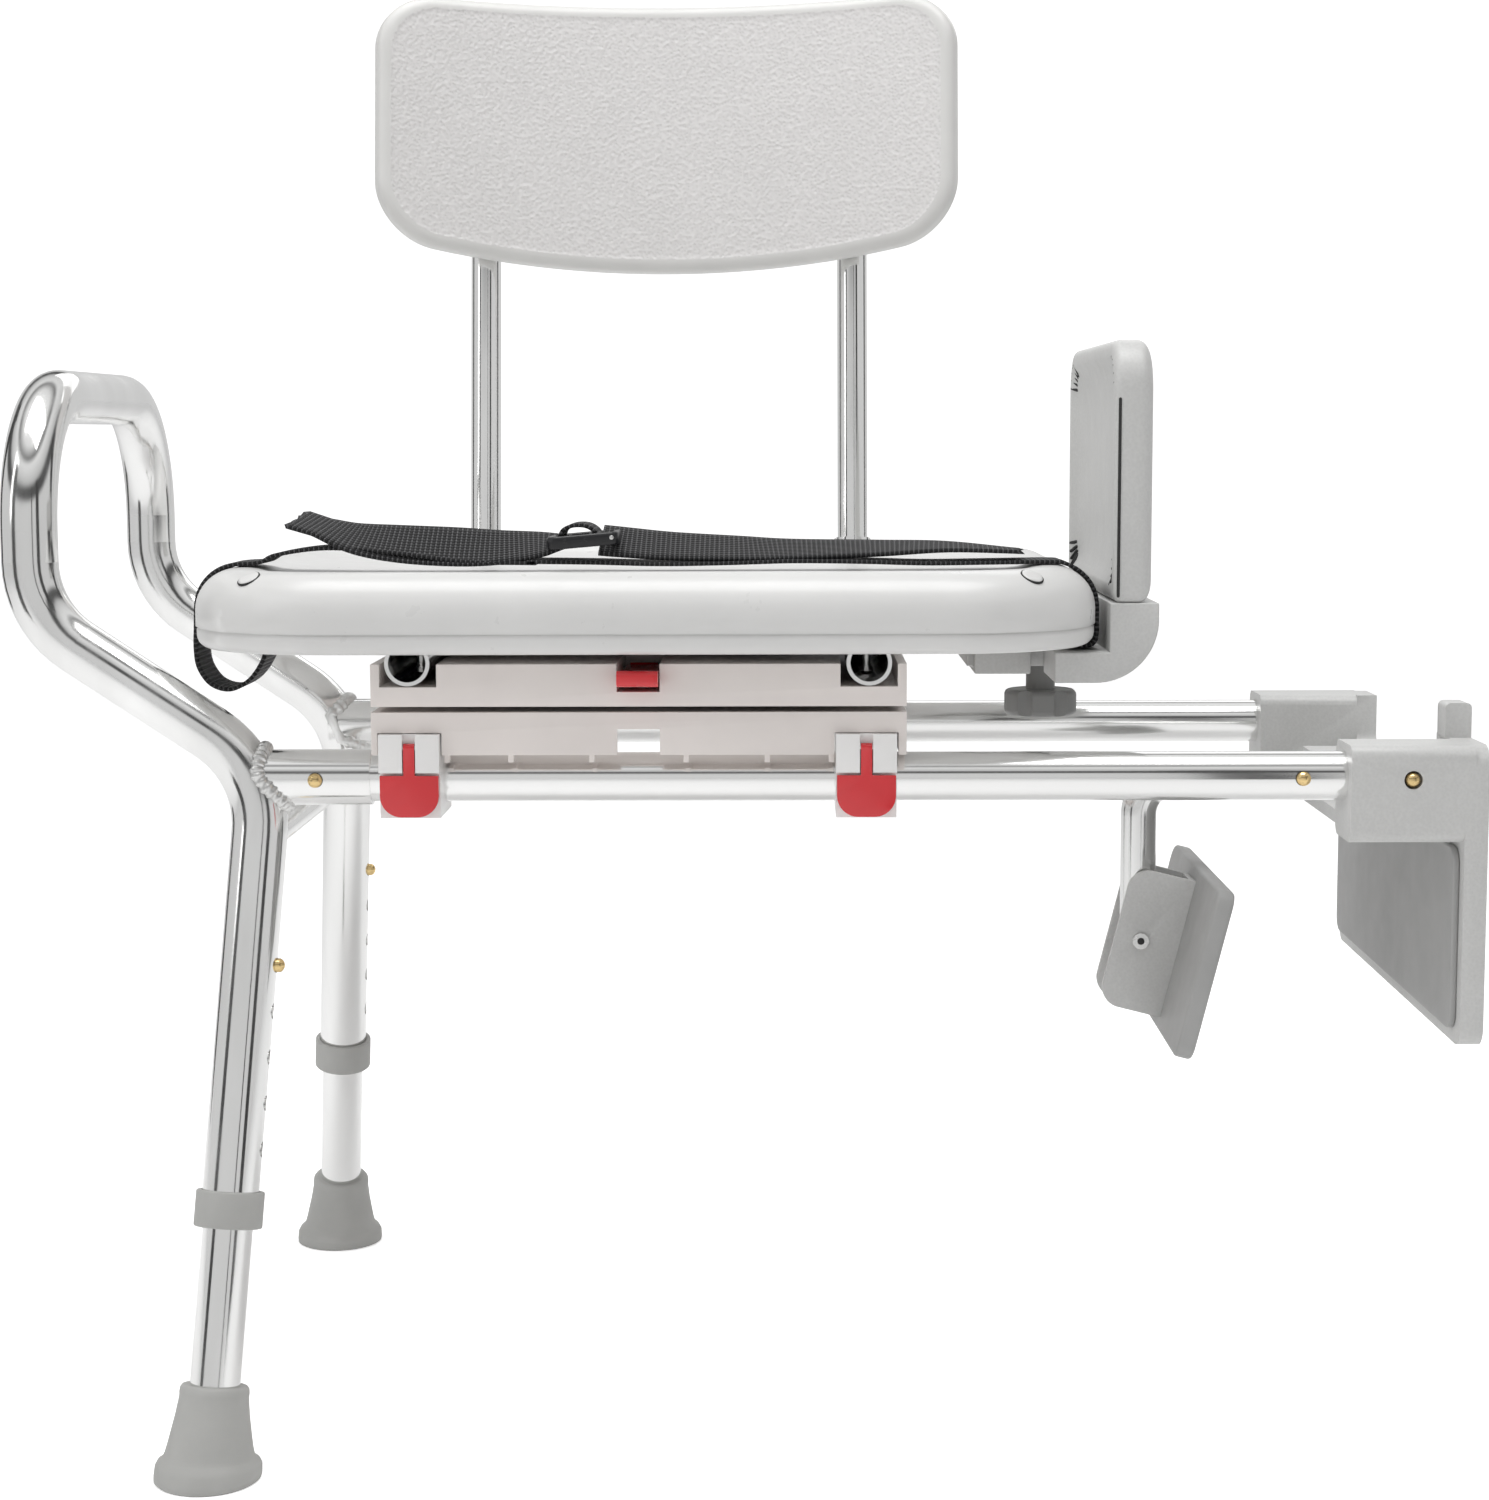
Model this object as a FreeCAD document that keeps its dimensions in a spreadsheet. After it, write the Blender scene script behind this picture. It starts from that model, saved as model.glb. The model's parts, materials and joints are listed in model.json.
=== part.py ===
import FreeCAD, Part
import math
import os
import re
from FreeCAD import Placement, Rotation, Vector

# Sliding bath transfer bench with a swivel seat. Millimetres, +Z up, floor at Z = 0.
# +X runs along the rails from the grab loop to the tub hook, +Y from the seat front to the backrest.

os.makedirs("parts", exist_ok=True)
doc = FreeCAD.newDocument("transfer_bench")

sizes = {
    "mid_y": -16.2,  # middle plane between the two rails
    "rail_z": 385.0, "rail_side": 152.0, "rail_r": 14.0, "rail_bore": 12.4,
    "rail_left": -250.0, "rail_right": 400.0,
    "sleeve_r": 15.9, "sleeve_bore": 14.06, "sleeve_left": -284.0, "sleeve_right": -210.5,
    "leg_r": 15.9, "leg_bore": 14.06, "leg_in_r": 14.0, "leg_in_bore": 12.2,
    "leg_top_x": -272.5, "foot_x": -298.5, "foot_side": 232.0, "leg_end_z": 140.0,
    "collar_r": 19.2, "collar_low": 136.0, "collar_high": 156.0,
    "foot_r": 30.0, "foot_top_r": 18.0, "foot_high": 50.0, "foot_rim": 11.0,
    "loop_x": -403.5, "loop_bend_z": 477.0, "loop_top_z": 602.0,
    "cross_r": 8.0, "cross_z": 347.0,
    "pivot_x": -57.0, "plate_half": 150.0, "plate_side": 180.0, "skin": 4.0,
    "base_low": 400.5, "base_high": 424.6, "deck_low": 427.8, "deck_high": 451.6,
    "ring_r": 110.0, "ring_bore": 60.0, "bolt_r": 6.0, "bolt_bore": 6.05,
    "glide_left": -185.5, "glide_right": 70.5, "glide_half": 17.0, "glide_deep": 50.0,
    "glide_low": 365.0, "glide_high": 412.6, "glide_bore": 14.06,
    "lever_half": 16.5, "lever_low": 366.0, "lever_high": 389.4, "lever_pin_z": 405.0,
    "base_corner": 50.0, "window_top": 415.0,
    "release_z": 443.5, "release_side": 112.0, "pin_r": 1.5,
    "lever_thick": 3.8, "ear_low": 391.0, "ear_deep": 5.0, "stem_half": 3.2,
    "tube_side": 129.0, "tube_r": 12.7, "tube_bore": 10.5, "tube_z": 452.2, "tube_bend": 34.0,
    "trough_half": 16.0, "trough_floor": 438.8, "notch_half": 12.0, "notch_floor": 436.0,
    "post_r": 10.45, "post_bore": 8.8, "post_lean": 8.0, "post_y": 228.0, "post_top": 385.0,
    "seat_x": -56.0, "seat_half": 260.0, "seat_side": 203.0, "seat_low": 458.0,
    "seat_high": 503.0, "seat_corner": 88.0, "seat_round": 15.0,
    "back_half": 203.0, "back_low": 240.0, "back_high": 427.0, "back_thick": 17.0,
    "back_radius": 471.0, "back_corner": 42.0,
    "arm_in": 213.0, "arm_out": 236.0, "arm_side": 131.0, "arm_low": 482.0, "arm_high": 632.0,
    "arm_corner": 26.0, "elbow_left": 180.0, "elbow_out": 239.5, "elbow_low": 436.0,
    "elbow_round": 36.0, "foot_plate_left": 134.0, "foot_plate_side": 60.0,
    "foot_plate_low": 440.0, "foot_plate_high": 453.6,
    "stud_x": 183.5, "stud_r": 4.0, "stud_bore": 4.05, "knob_r": 22.5, "knob_low": 405.0,
    "knob_high": 421.0, "knob_neck_r": 9.0,
    "socket_left": 342.5, "socket_right": 412.0, "socket_low": 349.0, "socket_high": 404.0,
    "socket_half": 23.0, "hook_out": 419.5, "hook_thick": 13.0, "hook_side": 175.0,
    "hook_low": 232.0, "web_thick": 8.0, "notch_z": 372.0,
    "clamp_r": 11.0, "clamp_bore": 9.4, "clamp_x": 245.5, "clamp_z": 365.5, "clamp_low": 238.0,
    "clamp_socket_r": 13.0, "clamp_socket_bore": 11.06, "clamp_socket_left": 269.5,
    "pad_pivot_z": 265.0, "pad_side": 98.0, "pad_half": 52.0, "pad_tilt": 14.0,
    "sleeve_hole_x": -241.0, "stop_hole_x": 317.0, "hook_hole_x": 377.0,
    "button_r": 4.0, "button_hole": 4.3, "strap_wide": 38.0, "strap_thick": 2.4,
}

sheet = doc.addObject("Spreadsheet::Sheet", "Sizes")
for row, (alias, value) in enumerate(sizes.items(), start=1):
    sheet.set(f"A{row}", alias)
    sheet.set(f"B{row}", str(value))
    sheet.setAlias(f"B{row}", alias)
doc.recompute()


class Named:
    """The sheet's values under their own names, for the bent and lofted shapes."""


s = Named()
s.__dict__.update(sizes)
ends = {"front": -1, "rear": 1}
parts = []  # every finished sub-part, in the order it is made


def formula(text):
    """Points each size named in a formula at its cell in the sheet."""
    return re.sub(r"[a-z]\w*", lambda m: f"Sizes.{m[0]}" if m[0] in sizes else m[0], str(text))


def put(obj, x="0", y="0", z="0"):
    for axis, text in zip("xyz", (x, y, z)):
        obj.setExpression(f".Placement.Base.{axis}", formula(text))
    return obj


def box(name, x, y, z):
    """A box from low and high formulas along each axis."""
    obj = doc.addObject("Part::Box", name)
    for prop, (low, high) in zip(("Length", "Width", "Height"), (x, y, z)):
        obj.setExpression(prop, formula(f"({high}) - ({low})"))
    return put(obj, x[0], y[0], z[0])


turns = {
    "x": Rotation(Vector(0, 1, 0), 90),
    "y": Rotation(Vector(1, 0, 0), -90),
    "z": Rotation(),
}


def rod(name, axis, radius, length, x="0", y="0", z="0"):
    """A cylinder along +X, +Y or +Z from its start point."""
    obj = doc.addObject("Part::Cylinder", name)
    obj.setExpression("Radius", formula(radius))
    obj.setExpression("Height", formula(length))
    obj.Placement = Placement(Vector(), turns[axis])
    return put(obj, x, y, z)


def fuse(name, *shapes):
    obj = doc.addObject("Part::MultiFuse", name)
    obj.Shapes = list(shapes)
    return obj


def cut(name, base, *tools):
    obj = doc.addObject("Part::Cut", name)
    obj.Base = base
    obj.Tool = tools[0] if len(tools) == 1 else fuse(name + "_tools", *tools)
    return obj


def rounded(name, base, radius, wanted):
    """Rounds the edges that wanted() picks, given each edge's centre and direction."""
    doc.recompute()
    obj = doc.addObject("Part::Fillet", name)
    obj.Base = base
    picked = []
    for index, edge in enumerate(base.Shape.Edges, start=1):
        first, last = edge.Vertexes[0].Point, edge.Vertexes[-1].Point
        if wanted(edge.CenterOfMass, last - first):
            picked.append((index, radius, radius))
    obj.Edges = picked
    return obj


def feature(name, shape, placement=None):
    obj = doc.addObject("Part::Feature", name)
    obj.Shape = shape
    if placement:
        obj.Placement = placement
    return obj


def done(label, obj):
    """Names a finished sub-part; its label is also its file name."""
    obj.Label = label
    parts.append(obj)
    return obj


def along(axis):
    """Picks straight edges parallel to one axis."""
    return lambda middle, run: abs(run.normalize().dot(axis)) > 0.99 if run.Length else False


X, Y, Z = Vector(1, 0, 0), Vector(0, 1, 0), Vector(0, 0, 1)


# ---------------------------------------------------------------- bent tubes

def bent_path(points, radii):
    """Straight runs through the points, joined by tangent arcs of the given radii."""
    edges, start = [], points[0]
    for before, corner, after, radius in zip(points, points[1:], points[2:], radii):
        inward, outward = (before - corner).normalize(), (after - corner).normalize()
        half = inward.getAngle(outward) / 2
        reach = radius / math.tan(half)
        enter, leave = corner + inward * reach, corner + outward * reach
        bisector = (inward + outward).normalize()
        middle = corner + bisector * (radius / math.sin(half) - radius)
        edges += [Part.LineSegment(start, enter).toShape(), Part.Arc(enter, middle, leave).toShape()]
        start = leave
    edges.append(Part.LineSegment(start, points[-1]).toShape())
    return Part.Wire(edges)


def solid_bar(points, radii, radius):
    path = bent_path(points, radii)
    ring = Part.Wire(Part.makeCircle(radius, points[0], points[1] - points[0]))
    return path.makePipeShell([ring], True, True)


def bent_tube(points, radii, outer, inner):
    return solid_bar(points, radii, outer).cut(solid_bar(points, radii, inner))


def straight(start, end, radius):
    return Part.makeCylinder(radius, (end - start).Length, start, end - start)


# ---------------------------------------------------------------- leg frame

leg_top = {side: Vector(s.leg_top_x, s.mid_y + sign * s.rail_side, s.rail_z + 5)
           for side, sign in ends.items()}
foot_at = {side: Vector(s.foot_x, s.mid_y + sign * s.foot_side, 0) for side, sign in ends.items()}
leg_down = {side: (foot_at[side] - leg_top[side]).normalize() for side in ends}


def on_leg(side, height):
    """The point of a leg's axis at a height above the floor."""
    return leg_top[side] + leg_down[side] * ((height - leg_top[side].z) / leg_down[side].z)


def loop_corner(side, height):
    return Vector(s.loop_x, leg_top[side].y, height)


loop_points = [
    on_leg("front", s.leg_end_z), leg_top["front"], loop_corner("front", s.loop_bend_z),
    loop_corner("front", s.loop_top_z), loop_corner("rear", s.loop_top_z),
    loop_corner("rear", s.loop_bend_z), leg_top["rear"], on_leg("rear", s.leg_end_z),
]
loop_radii = [62, 58, 76, 76, 58, 62]
loop_solid = solid_bar(loop_points, loop_radii, s.leg_r)
loop_tube = loop_solid.cut(solid_bar(loop_points, loop_radii, s.leg_bore))

leg_button_z, hole_pitch, hole_count = 280.0, 25.4, 5
for side in ends:
    for step in range(hole_count):
        centre = on_leg(side, leg_button_z - step * hole_pitch)
        loop_tube = loop_tube.cut(straight(centre, centre + X * 30, s.button_hole))
done("leg_frame", feature("leg_frame", loop_tube))

for side, sign in ends.items():
    y = f"mid_y + {sign} * rail_side"
    axis = leg_down[side]

    # Sleeve welded to the leg tube, coped to fit round it; the rail plugs into it.
    stub = rod(f"stub_{side}", "x", "sleeve_r", "sleeve_right - sleeve_left", "sleeve_left", y, "rail_z")
    bore = rod(f"stub_bore_{side}", "x", "sleeve_bore", "sleeve_right - sleeve_left + 2",
               "sleeve_left - 1", y, "rail_z")
    hole = rod(f"stub_hole_{side}", "y", "button_hole", "40",
               "sleeve_hole_x", f"{y} - ({1 - sign}) * 20", "rail_z")
    body = feature(f"leg_solid_{side}", loop_solid)
    done(f"rail_sleeve_{side}", cut(f"sleeve_{side}", stub, bore, hole, body))

    # Telescopic lower leg, its collar and its rubber foot.
    low, high = on_leg(side, 9), on_leg(side, leg_button_z + 26)
    inner_leg = straight(low, high, s.leg_in_r).cut(straight(low, high, s.leg_in_bore))
    centre = on_leg(side, leg_button_z)
    inner_leg = inner_leg.cut(straight(centre, centre + X * 30, s.button_hole))
    done(f"leg_extension_{side}", feature(f"extension_{side}", inner_leg))

    low, high = on_leg(side, s.collar_low), on_leg(side, s.collar_high)
    lip = on_leg(side, s.collar_low + 3)
    collar = straight(low, high, s.collar_r).cut(straight(lip, high, s.leg_r + 0.06))
    collar = collar.cut(straight(low, high, s.leg_in_r + 0.06))
    done(f"leg_collar_{side}", feature(f"collar_{side}", collar))

    base = Part.makeCylinder(s.foot_r, s.foot_rim, foot_at[side])
    lower = Part.Wire(Part.makeCircle(s.foot_r - 5, foot_at[side] + Z * s.foot_rim))
    upper = Part.Wire(Part.makeCircle(s.foot_top_r, on_leg(side, s.foot_high), axis * -1))
    foot = base.fuse(Part.makeLoft([lower, upper], True))
    foot = foot.cut(straight(on_leg(side, 9), on_leg(side, s.foot_high + 20), s.leg_in_r))
    done(f"foot_tip_{side}", feature(f"foot_{side}", foot))

    # Rail, drilled for the snap buttons of its sleeve, its carriage stop and its hook socket.
    tube = rod(f"rail_out_{side}", "x", "rail_r", "rail_right - rail_left", "rail_left", y, "rail_z")
    bore = rod(f"rail_in_{side}", "x", "rail_bore", "rail_right - rail_left + 2",
               "rail_left - 1", y, "rail_z")
    holes = [rod(f"rail_{which}_{side}", "y", "button_hole", "40",
                 which, f"{y} - ({1 - sign}) * 20", "rail_z")
             for which in ("sleeve_hole_x", "stop_hole_x", "hook_hole_x")]
    done(f"rail_{side}", cut(f"rail_tube_{side}", tube, bore, *holes))

cross = straight(on_leg("front", s.cross_z), on_leg("rear", s.cross_z), s.cross_r)
done("leg_cross_bar", feature("cross_bar", cross.cut(loop_solid)))


# ---------------------------------------------------------------- snap buttons

def dome_button(name, point, outward, radius, rise, shank_deep=1.5):
    """A brass push button: a short shank in the wall with a domed head outside it."""
    shank = Part.makeCylinder(radius, rise * 0.5 + shank_deep, point - outward * shank_deep, outward)
    ball = Part.makeSphere(radius * 1.08, point + outward * (rise - radius * 0.95))
    keep = Part.makeCylinder(radius, rise * 2, point, outward)
    return done(name, feature(name + "_shape", shank.fuse(ball.common(keep)).removeSplitter()))


for side, sign in ends.items():
    outward = Y * sign
    rail = Vector(0, s.mid_y + sign * s.rail_side, s.rail_z)
    dome_button(f"leg_button_{side}", on_leg(side, leg_button_z) + X * s.leg_r, X, s.button_r, 4.2)
    dome_button(f"sleeve_button_{side}", rail + X * s.sleeve_hole_x + outward * s.sleeve_r, outward,
                s.button_r, 4.0)
    dome_button(f"rail_stop_button_{side}", rail + X * s.stop_hole_x + outward * s.rail_r, outward,
                s.button_r, 3.6)
    dome_button(f"hook_button_{side}", rail + X * s.hook_hole_x + outward * (s.rail_r + 5.5), outward,
                s.button_r, 4.5, 7.0)


# ---------------------------------------------------------------- tub hook and clamp

sockets, bores, ports = [], [], []
for side, sign in ends.items():
    y = f"mid_y + {sign} * rail_side"
    block = box(f"socket_{side}", ("socket_left", "socket_right"),
                (f"{y} - socket_half", f"{y} + socket_half"), ("socket_low", "socket_high"))
    sockets.append(rounded(f"socket_round_{side}", block, 7.0, along(X)))
    bores.append(rod(f"socket_bore_{side}", "x", "rail_r + 0.06", "rail_right - socket_left + 1",
                     "socket_left - 1", y, "rail_z"))
    ports.append(rod(f"socket_port_{side}", "y", "button_r + 1.2", "40", "hook_hole_x",
                     f"{y} - ({1 - sign}) * 20", "rail_z"))
hook_plate = rounded("hook_plate", box(
    "hook_slab", ("hook_out - hook_thick", "hook_out"),
    ("mid_y - hook_side", "mid_y + hook_side"), ("hook_low", "socket_high")), 12.0, along(X))
hook_web = box("hook_web", ("socket_left + 8", "hook_out - hook_thick / 2"),
               ("mid_y - rail_side", "mid_y + rail_side"), ("socket_low", "socket_low + web_thick"))
clamp_boss = box("clamp_boss", ("socket_left + 8", "hook_out - hook_thick / 2"),
                 ("mid_y - 20", "mid_y + 20"), ("socket_low", "clamp_z + 17"))
hook_notch = rounded("hook_notch", box(  # the plate is lower between the sockets
    "hook_notch_block", ("hook_out - hook_thick - 1", "hook_out + 1"),
    ("mid_y - 100", "mid_y + rail_side - socket_half"), ("notch_z", "socket_high + 20")), 8.0, along(X))
hook_lug = rounded("hook_lug_round", box(
    "hook_lug", ("hook_out - 15", "hook_out"), ("mid_y - 130", "mid_y - 110"),
    ("socket_high - 2", "socket_high + 20")), 3.0, along(Y))
clamp_bore = rod("clamp_boss_bore", "x", "clamp_socket_r", "60", "socket_left", "mid_y", "clamp_z")
notched_plate = cut("notched_plate", hook_plate, hook_notch)
hook_solid = fuse("hook_solid", *sockets, notched_plate, hook_web, clamp_boss, hook_lug)
done("tub_hook", cut("tub_hook_shape", hook_solid, *bores, *ports, clamp_bore))
done("hook_pad", rounded("hook_pad_round", box(
    "hook_pad_slab", ("hook_out - hook_thick - 4", "hook_out - hook_thick"),
    ("mid_y - hook_side + 10", "mid_y + hook_side - 10"),
    ("hook_low + 8", "socket_low - 4")), 10.0, along(X)))

socket_tube = rod("clamp_socket_out", "x", "clamp_socket_r", "hook_out - 17 - clamp_socket_left",
                  "clamp_socket_left", "mid_y", "clamp_z")
socket_hole = rod("clamp_socket_in", "x", "clamp_socket_bore", "hook_out - 15 - clamp_socket_left",
                  "clamp_socket_left - 1", "mid_y", "clamp_z")
done("clamp_socket", cut("clamp_socket_tube", socket_tube, socket_hole))

clamp_points = [Vector(362, s.mid_y, s.clamp_z), Vector(s.clamp_x, s.mid_y, s.clamp_z),
                Vector(s.clamp_x, s.mid_y, s.clamp_low)]
pivot = Vector(s.clamp_x, s.mid_y, s.pad_pivot_z)
pin_reach, flange = 17.5, 4.0
clamp_tube = bent_tube(clamp_points, [23.5], s.clamp_r, s.clamp_bore)
clamp_tube = clamp_tube.cut(Part.makeCylinder(3.05, 60, pivot - Y * 30, Y))
done("clamp_arm", feature("clamp_arm_tube", clamp_tube))

tilt = Placement(pivot, Rotation(Y, s.pad_tilt))  # the pad leans its top towards the hook


def pad_box(x_low, x_high, side_low, side_high, z_low, z_high):
    return Part.makeBox(x_high - x_low, side_high - side_low, z_high - z_low,
                        Vector(x_low, side_low, z_low))


yoke = pad_box(20, 24, -pin_reach, pin_reach, -44, 44)
for sign in (-1, 1):
    low = min(sign * (pin_reach - flange), sign * pin_reach)
    cheek = pad_box(-16, 21, low, low + flange, -44, 44)
    upright = [e for e in cheek.Edges if abs(e.tangentAt(e.FirstParameter).y) > 0.9 and e.CenterOfMass.x < 0]
    yoke = yoke.fuse(cheek.makeFillet(13, upright))
yoke = yoke.cut(Part.makeCylinder(3.0, 60, Vector(0, -30, 0), Y)).removeSplitter()
done("pad_yoke", feature("pad_yoke_shape", yoke, tilt))
face = pad_box(24, 35, -s.pad_side, s.pad_side, -s.pad_half, s.pad_half)
corners = [e for e in face.Edges if abs(e.tangentAt(e.FirstParameter).x) > 0.9]
done("clamp_pad", feature("clamp_pad_shape", face.makeFillet(9, corners), tilt))
rivet = Part.makeCylinder(3.0, 2 * pin_reach, Vector(0, -pin_reach, 0), Y)
for sign in (-1, 1):
    rivet = rivet.fuse(Part.makeCylinder(5.0, 2, Vector(0, sign * pin_reach, 0), Y * sign))
done("pad_rivet", feature("pad_rivet_shape", rivet.removeSplitter(), tilt))


# ---------------------------------------------------------------- sliding carriage

tray = box("base_block", ("pivot_x - plate_half", "pivot_x + plate_half"),
           ("mid_y - plate_side", "mid_y + plate_side"), ("base_low", "base_high"))
tray_inside = box("base_inside", ("pivot_x - plate_half + skin", "pivot_x + plate_half - skin"),
                  ("mid_y - plate_side + skin", "mid_y + plate_side - skin"),
                  ("base_low - 1", "base_high - skin"))


def rear_corner(middle, run):
    return abs(run.normalize().z) > 0.99 and middle.y > 0


tray = rounded("base_round", tray, s.base_corner, rear_corner)
tray_inside = rounded("base_inside_round", tray_inside, s.base_corner - s.skin, rear_corner)
windows = [box("base_window", ("pivot_x - notch_half", "pivot_x + notch_half"),
               ("mid_y - plate_side - 1", "mid_y - plate_side + skin + 1"), ("base_low - 1", "window_top"))]
for place in ("left", "right"):
    windows.append(box(f"glide_window_{place}",
                       (f"glide_{place} - glide_half - 1", f"glide_{place} + glide_half + 1"),
                       ("mid_y - plate_side - 1", "mid_y - plate_side + skin + 1"),
                       ("base_low - 1", "glide_high + 0.4")))
teeth = []
for number, off in enumerate((-108, -72, -26.5, 26.5, 72, 108), start=1):
    teeth.append(box(f"base_tooth_{number}", (f"pivot_x + {off} - 1.5", f"pivot_x + {off} + 1.5"),
                     ("mid_y - plate_side + skin - 1", "mid_y - plate_side + skin + 7"),
                     ("base_low - 4.5", "base_high - 1")))
base_hole = rod("base_bolt_hole", "z", "bolt_r", "10", "pivot_x", "mid_y", "base_high - 5")
base_solid = fuse("base_solid", cut("base_shell", tray, tray_inside), *teeth)
done("carriage_base", cut("carriage_base_shape", base_solid,
                          *windows, base_hole))

for place, inward in (("left", 5), ("right", -5)):
    for side, sign in ends.items():
        tag = f"{side}_{place}"
        x_low, x_high = f"glide_{place} - glide_half", f"glide_{place} + glide_half"
        near, far = ("-plate_side", "-plate_side + glide_deep") if sign < 0 else (
            "plate_side - glide_deep", "plate_side")
        block = box(f"glide_block_{tag}", (x_low, x_high), (f"mid_y + {near}", f"mid_y + {far}"),
                    ("glide_low", "glide_high" if side == "front" else "base_low - 0.3"))
        bore = rod(f"glide_bore_{tag}", "x", "glide_bore", "2 * glide_half + 2", f"{x_low} - 1",
                   f"mid_y + {sign} * rail_side", "rail_z")
        near, far = ("-plate_side + skin + 0.2", "-plate_side + glide_deep") if sign < 0 else (
            "plate_side - glide_deep", "plate_side - skin - 0.2")
        if side == "rear":
            far = "rail_side"
        saddle = box(f"glide_saddle_{tag}",
                     (f"glide_{place} + {inward - 8}", f"glide_{place} + {inward + 8}"),
                     (f"mid_y + {near}", f"mid_y + {far}"), ("base_low - 1", "base_high - skin"))
        if side == "rear":
            done(f"glide_{tag}", cut(f"glide_shape_{tag}", fuse(f"glide_solid_{tag}", block, saddle), bore))
            continue
        ears = box(f"glide_ears_{tag}", (x_low, x_high),
                   ("mid_y - plate_side - ear_deep", "mid_y - plate_side + 1"),
                   ("ear_low", "glide_high"))
        slot = box(f"glide_slot_{tag}",
                   (f"glide_{place} - stem_half - 0.5", f"glide_{place} + stem_half + 0.5"),
                   ("mid_y - plate_side - ear_deep - 1", "mid_y - plate_side"),
                   ("ear_low - 1", "glide_high + 1"))
        pin_hole = rod(f"glide_pin_hole_{tag}", "x", "pin_r", "26", f"glide_{place} - 13",
                       "mid_y - plate_side - 2.5", "lever_pin_z")
        glide_solid = fuse(f"glide_solid_{tag}", block, saddle, ears)
        done(f"glide_{tag}", cut(f"glide_shape_{tag}", glide_solid, bore, slot, pin_hole))

        # Red lock lever: a stem between the ears and a finger tab below them.
        y_low, y_high = "mid_y - plate_side - 1 - lever_thick", "mid_y - plate_side - 1"
        stem = box(f"lever_stem_{tag}", (f"glide_{place} - stem_half", f"glide_{place} + stem_half"),
                   (y_low, y_high), ("lever_high - 1", "lever_pin_z"))
        head = rod(f"lever_head_{tag}", "x", "2.4", "2 * stem_half", f"glide_{place} - stem_half",
                   "mid_y - plate_side - 2.5", "lever_pin_z")
        tab = box(f"lever_tab_{tag}", (f"glide_{place} - lever_half", f"glide_{place} + lever_half"),
                  (y_low, y_high), ("lever_low", "lever_high"))
        tab = rounded(f"lever_tab_round_{tag}", tab, 12.0,
                      lambda m, run: abs(run.normalize().y) > 0.99 and m.z < 370)
        hole = rod(f"lever_hole_{tag}", "x", "pin_r + 0.05", "20", f"glide_{place} - 10",
                   "mid_y - plate_side - 2.5", "lever_pin_z")
        lever_solid = fuse(f"lever_solid_{tag}", stem, head, tab)
        done(f"lock_lever_{place}", cut(f"lock_lever_shape_{place}", lever_solid, hole))
        done(f"lever_pin_{place}", rod(f"lever_pin_shape_{place}", "x", "pin_r", "26",
                                       f"glide_{place} - 13", "mid_y - plate_side - 2.5", "lever_pin_z"))

ring = rod("ring_out", "z", "ring_r", "deck_low - base_high - 0.3", "pivot_x", "mid_y", "base_high")
ring_hole = rod("ring_in", "z", "ring_bore", "20", "pivot_x", "mid_y", "base_high - 5")
done("swivel_ring", cut("swivel_ring_shape", ring, ring_hole))

shaft = rod("bolt_shaft", "z", "bolt_r", "443 - base_high + 5", "pivot_x", "mid_y", "base_high - 5")
bolt_foot = rod("bolt_foot", "z", "bolt_r + 5", "5", "pivot_x", "mid_y", "base_high - skin - 5")
bolt_head = rod("bolt_head", "z", "bolt_r + 4", "4", "pivot_x", "mid_y", "443")
done("swivel_bolt", fuse("swivel_bolt_shape", shaft, bolt_foot, bolt_head))


# ---------------------------------------------------------------- swivel deck and seat

deck = box("deck_block", ("pivot_x - plate_half", "pivot_x + plate_half"),
           ("mid_y - plate_side", "mid_y + plate_side"), ("deck_low", "deck_high"))
deck_inside = box("deck_inside", ("pivot_x - plate_half + skin", "pivot_x + plate_half - skin"),
                  ("mid_y - plate_side + skin", "mid_y + plate_side - skin"),
                  ("deck_low - 1", "deck_high - skin - 1"))
hub = rod("deck_hub", "z", "40", "deck_high - deck_low - 2", "pivot_x", "mid_y", "deck_low")
troughs, channels = [], []
for number, sign in enumerate((-1, 1), start=1):
    centre = f"pivot_x + {sign} * tube_side"
    troughs.append(box(f"trough_{number}", (f"{centre} - trough_half - 4", f"{centre} + trough_half + 4"),
                       ("mid_y - plate_side", "mid_y + plate_side"), ("trough_floor - 4", "deck_high")))
    channels.append(box(f"channel_{number}", (f"{centre} - trough_half", f"{centre} + trough_half"),
                        ("mid_y - plate_side - 1", "mid_y + plate_side + 1"),
                        ("trough_floor", "deck_high + 1")))
cheeks = box("lever_cheeks", ("pivot_x - notch_half - skin", "pivot_x + notch_half + skin"),
             ("mid_y - plate_side", "mid_y - 91"), ("notch_floor - 2", "deck_high"))
notch = box("lever_notch", ("pivot_x - notch_half", "pivot_x + notch_half"),
            ("mid_y - plate_side - 1", "mid_y - 95"), ("notch_floor", "deck_high + 1"))
bolt_well = rod("bolt_well", "z", "bolt_r + 5", "20", "pivot_x", "mid_y", "442.8")
bolt_hole = rod("bolt_hole", "z", "bolt_bore", "30", "pivot_x", "mid_y", "deck_low - 1")
release_bore = rod("release_bore", "x", "pin_r", "30", "pivot_x - 15", "mid_y - release_side", "release_z")
deck_body = fuse("deck_body", cut("deck_shell", deck, deck_inside), hub, cheeks, *troughs)
done("swivel_deck", cut("swivel_deck_shape", deck_body, *channels, notch, bolt_well, bolt_hole, release_bore))

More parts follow.
